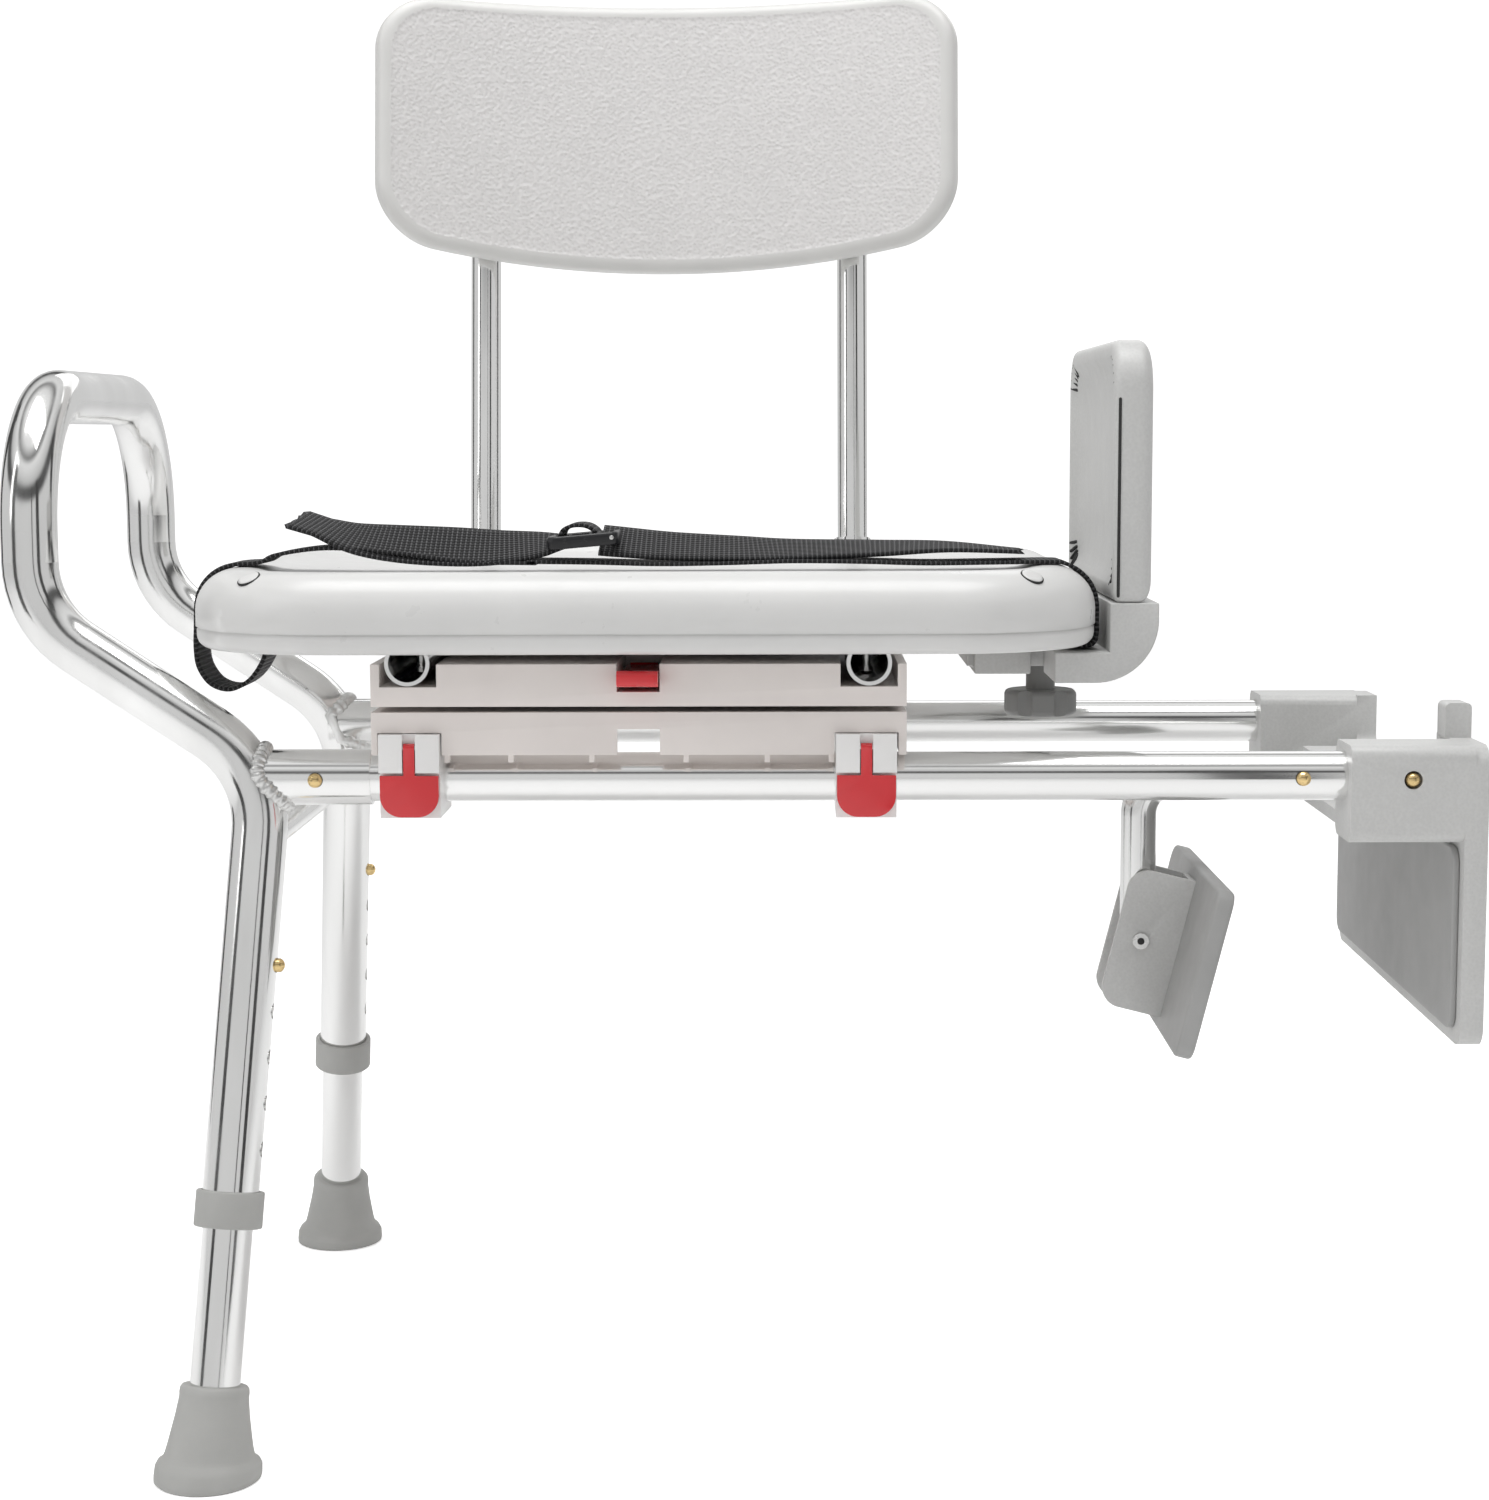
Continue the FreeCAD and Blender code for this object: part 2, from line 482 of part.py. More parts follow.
paddle = box("release_arm", ("pivot_x - notch_half + 2", "pivot_x + notch_half - 2"),
             ("mid_y - plate_side - 3", "mid_y - release_side"),
             ("release_z - 2.5", "release_z + 2.5"))
tongue = rounded("release_tongue_round", box(
    "release_tongue", ("pivot_x - notch_half + 0.5", "pivot_x + notch_half - 0.5"),
    ("mid_y - plate_side - 12", "mid_y - plate_side - 1.5"),
    ("release_z - 4", "release_z + 5")), 3.5, along(X))
release_eye = rod("release_eye", "x", "3.5", "16", "pivot_x - 8", "mid_y - release_side", "release_z")
release_hole = rod("release_hole", "x", "pin_r + 0.05", "24",
                   "pivot_x - 12", "mid_y - release_side", "release_z")
release_solid = fuse("release_solid", paddle, tongue, release_eye)
done("swivel_release", cut("swivel_release_shape", release_solid, release_hole))
done("release_pin", rod("release_pin_shape", "x", "pin_r", "30",
                        "pivot_x - 15", "mid_y - release_side", "release_z"))

lean = Vector(0, math.sin(math.radians(s.post_lean)), math.cos(math.radians(s.post_lean)))
tube_foot = {"left": s.pivot_x - s.tube_side, "right": s.pivot_x + s.tube_side}
tube_front, screw_row = s.mid_y - 182, (-120.0, 120.0)
tube_solids = []
for place, x in tube_foot.items():
    elbow = Vector(x, s.mid_y + s.post_y, s.tube_z)
    points = [Vector(x, tube_front, s.tube_z), elbow, elbow + lean * 54]
    tube_solids.append(solid_bar(points, [s.tube_bend], s.tube_r))
    done(f"seat_tube_{place}", feature(f"seat_tube_shape_{place}",
                                       bent_tube(points, [s.tube_bend], s.tube_r, s.tube_bore)))
    low, high = elbow + lean * 31, elbow + lean * s.post_top
    post = straight(low, high, s.post_r).cut(straight(low, high, s.post_bore))
    done(f"back_post_{place}", feature(f"back_post_shape_{place}", post))

seat = doc.addObject("PartDesign::Body", "SeatBody")
slab = seat.newObject("PartDesign::AdditiveBox", "SeatSlab")
for prop, text in (("Length", "2 * seat_half"), ("Width", "2 * seat_side"),
                   ("Height", "seat_high - seat_low")):
    slab.setExpression(prop, formula(text))
doc.recompute()


def named_edges(shape, wanted):
    names = []
    for index, edge in enumerate(shape.Edges, start=1):
        first, last = edge.Vertexes[0].Point, edge.Vertexes[-1].Point
        if wanted(edge.CenterOfMass, last - first):
            names.append(f"Edge{index}")
    return names


def body_fillet(body, name, base, radius, wanted):
    fillet = body.newObject("PartDesign::Fillet", name)
    fillet.Base = (base, named_edges(base.Shape, wanted))
    fillet.setExpression("Radius", formula(radius))
    doc.recompute()
    return fillet


seat_thick = s.seat_high - s.seat_low
corner = body_fillet(seat, "SeatCorners", slab, "seat_corner", along(Z))
rim = body_fillet(seat, "SeatRim", corner, "seat_round", lambda m, run: m.z > seat_thick - 0.1)
body_fillet(seat, "SeatUnderside", rim, "seat_round / 2", lambda m, run: m.z < 0.1)
put(seat, "seat_x - seat_half", "mid_y - seat_side", "seat_low")
doc.recompute()

# The underside is grooved for the two tubes.
seat_shape = seat.Shape.copy()
for x in tube_foot.values():
    groove = Part.makeBox(2 * s.tube_r + 1, 2 * s.seat_side + 20, s.tube_z + s.tube_r + 0.8 - s.seat_low + 5,
                          Vector(x - s.tube_r - 0.5, s.mid_y - s.seat_side - 10, s.seat_low - 5))
    seat_shape = seat_shape.cut(groove)
done("seat", feature("seat_shape", seat_shape))

screws, drills = [], []
for x in tube_foot.values():
    for y in screw_row:
        foot = Vector(x, s.mid_y + y, s.tube_z - 9.5)
        shaft = Part.makeCylinder(2.5, 28, foot, Z)
        screws.append(shaft.fuse(Part.makeCone(4.2, 3.4, 2.6, foot, Z)).removeSplitter())
        drills.append(Part.makeCylinder(2.5, 40, foot - Z * 10, Z))
drill = Part.makeCompound(drills)
seat_feature = parts[-1]
seat_feature.Shape = seat_feature.Shape.cut(drill)
for tube in parts:
    if tube.Label.startswith("seat_tube_"):
        tube.Shape = tube.Shape.cut(drill)


# ---------------------------------------------------------------- backrest

back_centre = Vector(s.pivot_x, s.mid_y + s.post_y, s.tube_z)
back_place = Placement(back_centre, Rotation(X, -s.post_lean))  # local Z runs up the posts
back_front = 7.0 - s.back_thick  # local Y of the panel's face at its middle
centre_y = back_front - s.back_radius
shell = Part.makeCylinder(s.back_radius + s.back_thick, 260, Vector(0, centre_y, 210)).cut(
    Part.makeCylinder(s.back_radius, 260, Vector(0, centre_y, 210)))
bow = 20.0  # how far the lower edge drops at its middle
left, right = Vector(-s.back_half, 0, 0), Vector(s.back_half, 0, 0)
low_edge, high_edge = Z * (s.back_low + bow), Z * s.back_high
outline = Part.Wire([
    Part.LineSegment(left + high_edge, left + low_edge).toShape(),
    Part.Arc(left + low_edge, Z * s.back_low, right + low_edge).toShape(),
    Part.LineSegment(right + low_edge, right + high_edge).toShape(),
    Part.LineSegment(right + high_edge, left + high_edge).toShape(),
])
blank = Part.Face(outline).extrude(Y * -90)
blank.translate(Y * 30)
corner_edges = [e for e in blank.Edges if abs(e.tangentAt(e.FirstParameter).y) > 0.9]
blank = blank.makeFillet(s.back_corner, corner_edges)
panel = shell.common(blank)
for place, sign in (("left", -1), ("right", 1)):
    panel = panel.cut(Part.makeCylinder(s.post_r + 0.1, s.post_top + 1, Vector(sign * s.tube_side, 0, 0), Z))
done("back_panel", feature("back_panel_shape", panel, back_place))

back_screws = []
for sign in (-1, 1):
    for height in (290.0, 372.0):
        back_screws.append(Part.makeCylinder(4.0, 3.0, Vector(sign * s.tube_side, s.post_r, height), Y))
done("back_screws", feature("back_screws_shape", Part.makeCompound(back_screws), back_place))
done("seat_screws", feature("seat_screws_shape", Part.makeCompound(screws)))


# ---------------------------------------------------------------- side arm

arm_block = box("arm_block", ("arm_in", "arm_out"), ("mid_y - arm_side", "mid_y + arm_side"),
                ("arm_low", "arm_high"))
done("arm_panel", rounded("arm_panel_shape", arm_block, s.arm_corner, lambda m, run: abs(
    run.normalize().x) > 0.99 and m.z > s.arm_high - 1))

elbow_block = box("elbow_block", ("elbow_left", "elbow_out"), ("mid_y - arm_side", "mid_y + arm_side"),
                  ("elbow_low", "arm_low"))
elbow_round = rounded("elbow_round", elbow_block, s.elbow_round, lambda m, run: abs(
    run.normalize().y) > 0.99 and m.x > s.elbow_out - 1 and m.z < s.elbow_low + 1)
seat_room = box("seat_room", ("elbow_left - 1", "arm_in - 1.5"),
                ("mid_y - arm_side - 1", "mid_y + arm_side + 1"),
                ("foot_plate_high", "arm_low + 1"))
foot_plate = box("foot_plate", ("foot_plate_left", "elbow_left + 1"),
                 ("mid_y - foot_plate_side", "mid_y + foot_plate_side"),
                 ("foot_plate_low", "foot_plate_high"))
foot_slot = box("foot_slot", ("stud_x - 33", "stud_x + 5"), ("mid_y - stud_r - 0.4", "mid_y + stud_r + 0.4"),
                ("elbow_low - 1", "foot_plate_high + 1"))
under_cut = box("elbow_under_cut", ("elbow_left - 1", "stud_x + 32"),
                ("mid_y - foot_plate_side", "mid_y + foot_plate_side"),
                ("elbow_low - 1", "foot_plate_low"))
elbow_solid = fuse("elbow_solid", elbow_round, foot_plate)
done("arm_elbow", cut("arm_elbow_shape", elbow_solid, seat_room, foot_slot, under_cut))

guide = box("guide_block", ("foot_plate_left + 4", "stud_x - 12"),
            ("mid_y - foot_plate_side - 9", "mid_y + foot_plate_side + 9"), ("elbow_low", "seat_low"))
guide_room = box("guide_room", ("foot_plate_left - 1", "stud_x"),
                 ("mid_y - foot_plate_side - 0.3", "mid_y + foot_plate_side + 0.3"),
                 ("foot_plate_low - 0.3", "seat_low + 1"))
done("arm_guide", cut("arm_guide_shape", guide, guide_room))

done("arm_stud", rod("arm_stud_shape", "z", "stud_r", "seat_low - knob_low - 6",
                     "stud_x", "mid_y", "knob_low + 6"))
knob_body = rod("knob_body", "z", "knob_r", "knob_high - knob_low", "stud_x", "mid_y", "knob_low")
knob_body = rounded("knob_round", knob_body, 3.5, lambda m, run: True)
knob_neck = rod("knob_neck", "z", "knob_neck_r", "foot_plate_low - knob_high - 0.2",
                "stud_x", "mid_y", "knob_high")
knob_hole = rod("knob_hole", "z", "stud_bore", "60", "stud_x", "mid_y", "knob_low + 5.9")
scallops = []
for step in range(6):
    angle = math.radians(60 * step)
    scallops.append(rod(f"knob_scallop_{step}", "z", "6", "40",
                        f"stud_x + (knob_r + 3) * {math.cos(angle):.6f}",
                        f"mid_y + (knob_r + 3) * {math.sin(angle):.6f}", "knob_low - 10"))
done("arm_knob", cut("arm_knob_shape", fuse("knob_solid", knob_body, knob_neck), knob_hole, *scallops))


# ---------------------------------------------------------------- seat belt

# The lap strap lies across the seat and wraps round its left and right edges.
half_strap, strap_gap = s.strap_wide / 2, 0.6
strap_z = s.seat_high + strap_gap + s.strap_thick / 2
under_z = s.seat_low - strap_gap - s.strap_thick / 2
belt_middle = Vector(-130, s.mid_y - 95, 0)  # the strap runs straight across the seat through here
reach_left = belt_middle.x - (s.seat_x - s.seat_half) + strap_gap + s.strap_thick / 2
reach_right = s.seat_x + s.seat_half + strap_gap + s.strap_thick / 2 - belt_middle.x


def strap(points, radii):
    """A flat webbing band of the strap's width; its path lies in an upright plane along X."""
    path = bent_path([belt_middle + Vector(x, 0, z) for x, z in points], radii)
    run = Vector(points[1][0] - points[0][0], 0, points[1][1] - points[0][1]).normalize()
    start = belt_middle + Vector(points[0][0], 0, points[0][1])
    across, up = Y * half_strap, run.cross(Y) * (s.strap_thick / 2)
    corners = [start + across + up, start - across + up, start - across - up, start + across - up]
    return path.makePipeShell([Part.makePolygon(corners + corners[:1])], True, True)


lap = strap([(reach_right - 20, under_z), (reach_right, under_z), (reach_right, strap_z),
             (0.5, strap_z)], [4, 4])
done("belt_lap", feature("belt_lap_shape", lap))
loop_low, loop_wide = 433.0, 40.0  # the slack loop that hangs below the seat's left edge
loop = strap([(-0.5, strap_z), (-reach_left, strap_z), (-reach_left, loop_low),
              (-reach_left + loop_wide, loop_low),
              (-reach_left + loop_wide, under_z)], [5, 12, 12])
done("belt_loop", feature("belt_loop_shape", loop))

# The buckle's own strap runs above the lap strap, with a loose end on each side.
buckle_low = strap_z + s.strap_thick / 2 + 0.4
left_end = strap([(-134, 531.5), (-72, 516), (16, 514)], [120])
right_end = strap([(60, 514), (130, 511.5), (295, 511.5)], [400])
done("belt_end_left", feature("belt_end_left_shape", left_end))
done("belt_end_right", feature("belt_end_right_shape", right_end))
buckle_side = half_strap + 6
buckle = Part.makeBox(43, 2 * buckle_side, 22, belt_middle + Vector(16.5, -buckle_side, buckle_low))
buckle = buckle.makeFillet(3, [e for e in buckle.Edges if abs(e.tangentAt(e.FirstParameter).y) > 0.9])
done("belt_buckle", feature("belt_buckle_shape", buckle))


# ---------------------------------------------------------------- check and write

doc.recompute()
for obj in doc.Objects:
    bad = [state for state in obj.State if state in ("Invalid", "Error")]
    assert not bad, f"{obj.Label}: {bad}"
whole = FreeCAD.BoundBox()
for obj in parts:
    assert not obj.Shape.isNull() and obj.Shape.isValid(), f"{obj.Label}: bad shape"
    assert obj.Shape.Volume > 0, f"{obj.Label}: no volume"
    whole.add(obj.Shape.BoundBox)
    obj.Shape.exportStep(f"parts/{obj.Label}.step")
print(len(parts), "sub-parts; box", whole)
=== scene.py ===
import json
import math

import bmesh
import bpy
import numpy as np
from mathutils import Euler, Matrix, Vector


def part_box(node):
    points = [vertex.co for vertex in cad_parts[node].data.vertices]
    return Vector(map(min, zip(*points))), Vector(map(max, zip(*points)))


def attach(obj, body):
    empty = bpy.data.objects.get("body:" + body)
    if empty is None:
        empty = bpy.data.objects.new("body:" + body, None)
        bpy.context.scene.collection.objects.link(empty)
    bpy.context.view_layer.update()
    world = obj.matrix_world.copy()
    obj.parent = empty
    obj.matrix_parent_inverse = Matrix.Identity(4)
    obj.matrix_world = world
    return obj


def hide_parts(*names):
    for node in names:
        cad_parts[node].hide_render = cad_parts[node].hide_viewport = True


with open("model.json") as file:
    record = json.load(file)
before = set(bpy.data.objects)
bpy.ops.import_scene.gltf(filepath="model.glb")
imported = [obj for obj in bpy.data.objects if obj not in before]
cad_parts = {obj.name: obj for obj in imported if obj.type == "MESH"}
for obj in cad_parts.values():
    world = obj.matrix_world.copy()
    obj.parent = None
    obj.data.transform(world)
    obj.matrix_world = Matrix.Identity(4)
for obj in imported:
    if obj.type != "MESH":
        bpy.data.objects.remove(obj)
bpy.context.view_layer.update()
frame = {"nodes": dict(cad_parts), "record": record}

# Bath transfer bench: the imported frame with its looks. Metres, +Z up, floor at Z = 0.
scene = bpy.context.scene
bodyOf = {node: body for body, nodes in frame["record"]["behaviour"]["bodies"].items() for node in nodes}
railFront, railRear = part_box("rail_front"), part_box("rail_rear")
midY = (railFront[0].y + railRear[1].y) / 2


# ---- camera, light and floor

camera = {"lens": 67.45, "sensor": 36.0, "x": 0.0275, "ahead": 1.731, "z": 0.58,
          "pitch": 6.5, "yaw": 0.93, "roll": -0.2}


def makeCamera():
    data = bpy.data.cameras.new("benchCamera")
    data.lens, data.sensor_width, data.sensor_fit = camera["lens"], camera["sensor"], "HORIZONTAL"
    view = bpy.data.objects.new("benchCamera", data)
    turn = Euler((math.radians(90 - camera["pitch"]), 0, math.radians(camera["yaw"]))).to_matrix()
    view.rotation_euler = (turn @ Euler((0, 0, math.radians(camera["roll"]))).to_matrix()).to_euler()
    view.location = (camera["x"], midY - camera["ahead"], camera["z"])
    scene.collection.objects.link(view)
    scene.camera = view


studio = {
    "air": ((0.0, 0.70), (0.30, 0.72), (0.37, 0.1), (0.47, 0.1), (0.54, 0.6), (0.72, 0.9), (0.78, 0.2),
            (0.88, 0.9)),
    "airStrength": 1.0, "airSeen": 1.25, "floorTone": (0.90, 0.90, 0.90), "floorGlow": 0.08,
    "floorSeen": 0.50,
    "floorSize": 14.0, "flagTone": 0.05,
    "lamps": (  # name, place, aim, size across and up, watts
        ("overhead", (-0.1, -0.3, 2.6), (0.0, 0.0, 0.4), (2.0, 1.2), 33),
        ("leftBox", (-2.3, -1.5, 1.6), (0.0, 0.0, 0.5), (0.8, 1.8), 10),
        ("backBox", (0.4, 2.4, 1.9), (0.0, 0.0, 0.4), (2.2, 1.0), 8),
    ),
    "flags": (  # black cards that the tubes reflect: place, size across and up
        ((-1.55, -1.15, 0.75), (0.42, 2.2)), ((1.35, -1.6, 0.75), (0.5, 2.2)),
        ((0.62, -2.1, 0.7), (0.14, 2.0)),
        ((1.9, 0.9, 0.75), (0.5, 2.2)), ((-1.9, 0.9, 0.75), (0.5, 2.2)),
    ),
}


def flatPaint(name, tone, rough):
    flat = bpy.data.materials.new(name)
    flat.use_nodes = True
    flat.node_tree.nodes["Principled BSDF"].inputs["Base Color"].default_value = (*tone, 1)
    flat.node_tree.nodes["Principled BSDF"].inputs["Roughness"].default_value = rough
    return flat


def makeCard(name, corners, card):
    mesh = bpy.data.meshes.new(name)
    mesh.from_pydata(corners, [], [(0, 1, 2, 3)])
    mesh.materials.append(card)
    piece = bpy.data.objects.new(name, mesh)
    scene.collection.objects.link(piece)
    return piece


def makeStudio():
    world = bpy.data.worlds.new("studioAir")
    world.use_nodes = True
    scene.world = world
    nodes, links = world.node_tree.nodes, world.node_tree.links
    coords, split = nodes.new("ShaderNodeTexCoord"), nodes.new("ShaderNodeSeparateXYZ")
    ramp = nodes.new("ShaderNodeValToRGB")
    links.new(coords.outputs["Generated"], split.inputs[0])
    links.new(split.outputs["Z"], ramp.inputs[0])
    while len(ramp.color_ramp.elements) < len(studio["air"]):
        ramp.color_ramp.elements.new(0.5)
    for element, (place, tone) in zip(ramp.color_ramp.elements, studio["air"]):
        element.position, element.color = place, (tone, tone, tone, 1)
    seen = nodes.new("ShaderNodeMix")  # the camera looks at plain white; the metal reflects the banded air
    seen.data_type = "RGBA"
    links.new(nodes.new("ShaderNodeLightPath").outputs["Is Camera Ray"], seen.inputs["Factor"])
    links.new(ramp.outputs[0], seen.inputs["A"])
    seen.inputs["B"].default_value = (studio["airSeen"],) * 3 + (1,)
    links.new(seen.outputs["Result"], nodes["Background"].inputs["Color"])
    nodes["Background"].inputs["Strength"].default_value = studio["airStrength"]
    for name, place, aim, (across, up), watts in studio["lamps"]:
        data = bpy.data.lights.new(name, "AREA")
        data.shape, data.size, data.size_y, data.energy = "RECTANGLE", across, up, watts
        lamp = bpy.data.objects.new(name, data)
        lamp.location = place
        lamp.rotation_euler = (Vector(aim) - Vector(place)).to_track_quat("-Z", "Y").to_euler()
        scene.collection.objects.link(lamp)
    half = studio["floorSize"] / 2
    floorPaint = flatPaint("floorPaint", studio["floorTone"], 0.8)
    nodes, links = floorPaint.node_tree.nodes, floorPaint.node_tree.links
    nodes["Principled BSDF"].inputs["Emission Color"].default_value = (1, 1, 1, 1)
    glow = nodes.new("ShaderNodeMath")  # the floor glows more for the camera than for the metal above it
    glow.operation = "MULTIPLY_ADD"
    links.new(nodes.new("ShaderNodeLightPath").outputs["Is Camera Ray"], glow.inputs[0])
    glow.inputs[1].default_value, glow.inputs[2].default_value = studio["floorSeen"], studio["floorGlow"]
    links.new(glow.outputs[0], nodes["Principled BSDF"].inputs["Emission Strength"])
    makeCard("floor", [(-half, -half, 0), (half, -half, 0), (half, half, 0), (-half, half, 0)], floorPaint)
    black = flatPaint("flagCloth", (studio["flagTone"],) * 3, 0.9)
    for number, (place, (across, up)) in enumerate(studio["flags"], start=1):
        side = Vector((-place[1], place[0], 0)).normalized() * across / 2  # each card faces the bench
        rise = Vector((0, 0, up / 2))
        middle = Vector(place)
        corners = [middle - side - rise, middle + side - rise, middle + side + rise, middle - side + rise]
        card = makeCard(f"flag{number}", corners, black)
        card.visible_camera = False
        card.visible_diffuse = False
        card.visible_shadow = False
    scene.view_settings.view_transform = "Standard"
    scene.view_settings.exposure = -0.12


makeCamera()
makeStudio()
print("camera and studio ready")


# ---- finishes

# One entry for each finish. grain is (pattern, cells per metre, bump in metres, bump strength); mottle
# varies the tone and roughBy the gloss; fleck is how much of the change of tone follows the grain; stretch
# squeezes the pattern along X, Y and Z, so that drawn tube gets its streaks.
finishes = {
    "tubeAlongX": {"tone": (0.90, 0.90, 0.89), "metal": 1, "rough": 0.13,
                   "grain": ("noise", 420, 0.00002, 0.25),
                   "mottle": 0.10, "roughBy": 0.16, "stretch": (0.03, 1, 1)},
    "tubeUpright": {"tone": (0.90, 0.90, 0.89), "metal": 1, "rough": 0.13,
                    "grain": ("noise", 420, 0.00002, 0.25),
                    "mottle": 0.10, "roughBy": 0.16, "stretch": (1, 1, 0.03)},
    "weldMetal": {"tone": (0.80, 0.80, 0.79), "metal": 1, "rough": 0.36,
                  "grain": ("noise", 700, 0.00012, 0.6),
                  "mottle": 0.2, "roughBy": 0.2},
    "seatPlastic": {"tone": (0.72, 0.718, 0.708), "rough": 0.32, "grain": ("cells", 850, 0.00007, 0.35),
                    "mottle": 0.025, "roughBy": 0.12, "sheenLayer": 0.15},
    "backPlastic": {"tone": (0.71, 0.697, 0.69), "rough": 0.42, "grain": ("cells", 430, 0.0006, 1.0),
                    "mottle": 0.06, "fleck": 0.7, "roughBy": 0.14, "sheenLayer": 0.08},
    "rimPlastic": {"tone": (0.68, 0.675, 0.66), "rough": 0.36, "grain": ("noise", 1400, 0.00003, 0.25),
                   "mottle": 0.03, "roughBy": 0.12, "sheenLayer": 0.1},
    "bracketPlastic": {"tone": (0.60, 0.60, 0.59), "rough": 0.44, "grain": ("cells", 650, 0.00014, 0.6),
                       "mottle": 0.05, "fleck": 0.6, "roughBy": 0.14, "sheenLayer": 0.08},
    "creamPlastic": {"tone": (0.82, 0.765, 0.735), "rough": 0.38, "grain": ("noise", 900, 0.00004, 0.3),
                     "mottle": 0.04, "roughBy": 0.14, "sheenLayer": 0.1},
    "whitePlastic": {"tone": (0.88, 0.87, 0.86), "rough": 0.33, "grain": ("noise", 900, 0.00003, 0.25),
                     "mottle": 0.03, "roughBy": 0.12, "sheenLayer": 0.15},
    "knobPlastic": {"tone": (0.22, 0.22, 0.215), "rough": 0.42, "grain": ("cells", 900, 0.00008, 0.4),
                    "mottle": 0.06, "roughBy": 0.14},
    "redPlastic": {"tone": (0.68, 0.022, 0.03), "rough": 0.2, "grain": ("noise", 700, 0.00002, 0.2),
                   "mottle": 0.06, "roughBy": 0.1, "sheenLayer": 0.5},
    "padPlastic": {"tone": (0.40, 0.40, 0.395), "rough": 0.48, "grain": ("cells", 800, 0.0001, 0.5),
                   "mottle": 0.06, "roughBy": 0.14},
    "footRubber": {"tone": (0.45, 0.45, 0.435), "rough": 0.6, "grain": ("noise", 1100, 0.00008, 0.45),
                   "mottle": 0.09, "roughBy": 0.14},
    "brassPlate": {"tone": (0.83, 0.62, 0.30), "metal": 1, "rough": 0.22,
                   "grain": ("noise", 1500, 0.00002, 0.25),
                   "mottle": 0.15, "roughBy": 0.2},
    "zincPlate": {"tone": (0.72, 0.72, 0.71), "metal": 1, "rough": 0.3,
                  "grain": ("noise", 1500, 0.00002, 0.25),
                  "mottle": 0.15, "roughBy": 0.2},
    "bucklePlastic": {"tone": (0.012, 0.012, 0.014), "rough": 0.3, "grain": ("cells", 1100, 0.00005, 0.4),
                      "mottle": 0.1, "roughBy": 0.12},
    # near-black paint for gaps, grooves, slots and the rivet's hollow: painted shade standing in for the
    # shadow inside them
    "darkGap": {"tone": (0.025, 0.025, 0.025), "rough": 0.7, "grain": ("noise", 600, 0.00003, 0.2),
                "mottle": 0.1, "roughBy": 0.1},
}


surface = {"coatRough": 0.12, "cloudCells": 22, "smearCells": 70, "lightest": 0.95}  # cells per metre


def makeFinish(name, spec):
    paint = bpy.data.materials.new(name)
    paint.use_nodes = True
    nodes, links = paint.node_tree.nodes, paint.node_tree.links
    shader = nodes["Principled BSDF"]
    shader.inputs["Metallic"].default_value = spec.get("metal", 0)
    shader.inputs["Coat Weight"].default_value = spec.get("sheenLayer", 0)
    shader.inputs["Coat Roughness"].default_value = surface["coatRough"]
    coords, place = nodes.new("ShaderNodeTexCoord"), nodes.new("ShaderNodeMapping")
    place.inputs["Scale"].default_value = spec.get("stretch", (1, 1, 1))
    links.new(coords.outputs["Object"], place.inputs["Vector"])
    pattern, perMetre, deep, strength = spec["grain"]
    if pattern == "cells":
        grain = nodes.new("ShaderNodeTexVoronoi")
        grain.feature = "SMOOTH_F1"
        height = grain.outputs["Distance"]
    else:
        grain = nodes.new("ShaderNodeTexNoise")
        grain.inputs["Detail"].default_value = 4
        height = grain.outputs["Fac"]
    grain.inputs["Scale"].default_value = perMetre
    links.new(place.outputs[0], grain.inputs["Vector"])
    bump = nodes.new("ShaderNodeBump")
    bump.inputs["Strength"].default_value = strength
    bump.inputs["Distance"].default_value = deep
    links.new(height, bump.inputs["Height"])
    links.new(bump.outputs[0], shader.inputs["Normal"])

    cloud = nodes.new("ShaderNodeTexNoise")  # slow change of tone over the piece
    cloud.inputs["Scale"].default_value = surface["cloudCells"]
    cloud.inputs["Detail"].default_value = 5
    links.new(place.outputs[0], cloud.inputs["Vector"])
    ramp = nodes.new("ShaderNodeValToRGB")
    tone = np.array(spec["tone"])
    low = tone * (1 - spec["mottle"])
    high = np.minimum(tone * (1 + spec["mottle"] * 0.6), surface["lightest"])
    ramp.color_ramp.elements[0].position, ramp.color_ramp.elements[1].position = 0.3, 0.7
    ramp.color_ramp.elements[0].color, ramp.color_ramp.elements[1].color = (*low, 1), (*high, 1)
    fleck = spec.get("fleck", 0)
    share, blend = nodes.new("ShaderNodeMath"), nodes.new("ShaderNodeMath")
    share.operation, blend.operation = "MULTIPLY", "MULTIPLY_ADD"
    share.inputs[1].default_value, blend.inputs[1].default_value = 1 - fleck, fleck
    links.new(cloud.outputs["Fac"], share.inputs[0])
    links.new(height, blend.inputs[0])
    links.new(share.outputs[0], blend.inputs[2])
    links.new(blend.outputs[0], ramp.inputs[0])
    links.new(ramp.outputs[0], shader.inputs["Base Color"])

    gloss = nodes.new("ShaderNodeMapRange")
    gloss.inputs["From Min"].default_value, gloss.inputs["From Max"].default_value = 0.25, 0.75
    gloss.inputs["To Min"].default_value = max(spec["rough"] - spec["roughBy"] / 2, 0.04)
    gloss.inputs["To Max"].default_value = spec["rough"] + spec["roughBy"] / 2
    smear = nodes.new("ShaderNodeTexNoise")
    smear.inputs["Scale"].default_value = surface["smearCells"]
    smear.inputs["Detail"].default_value = 6
    links.new(place.outputs[0], smear.inputs["Vector"])
    links.new(smear.outputs["Fac"], gloss.inputs["Value"])
    links.new(gloss.outputs[0], shader.inputs["Roughness"])
    return paint


paints = {name: makeFinish(name, spec) for name, spec in finishes.items()}
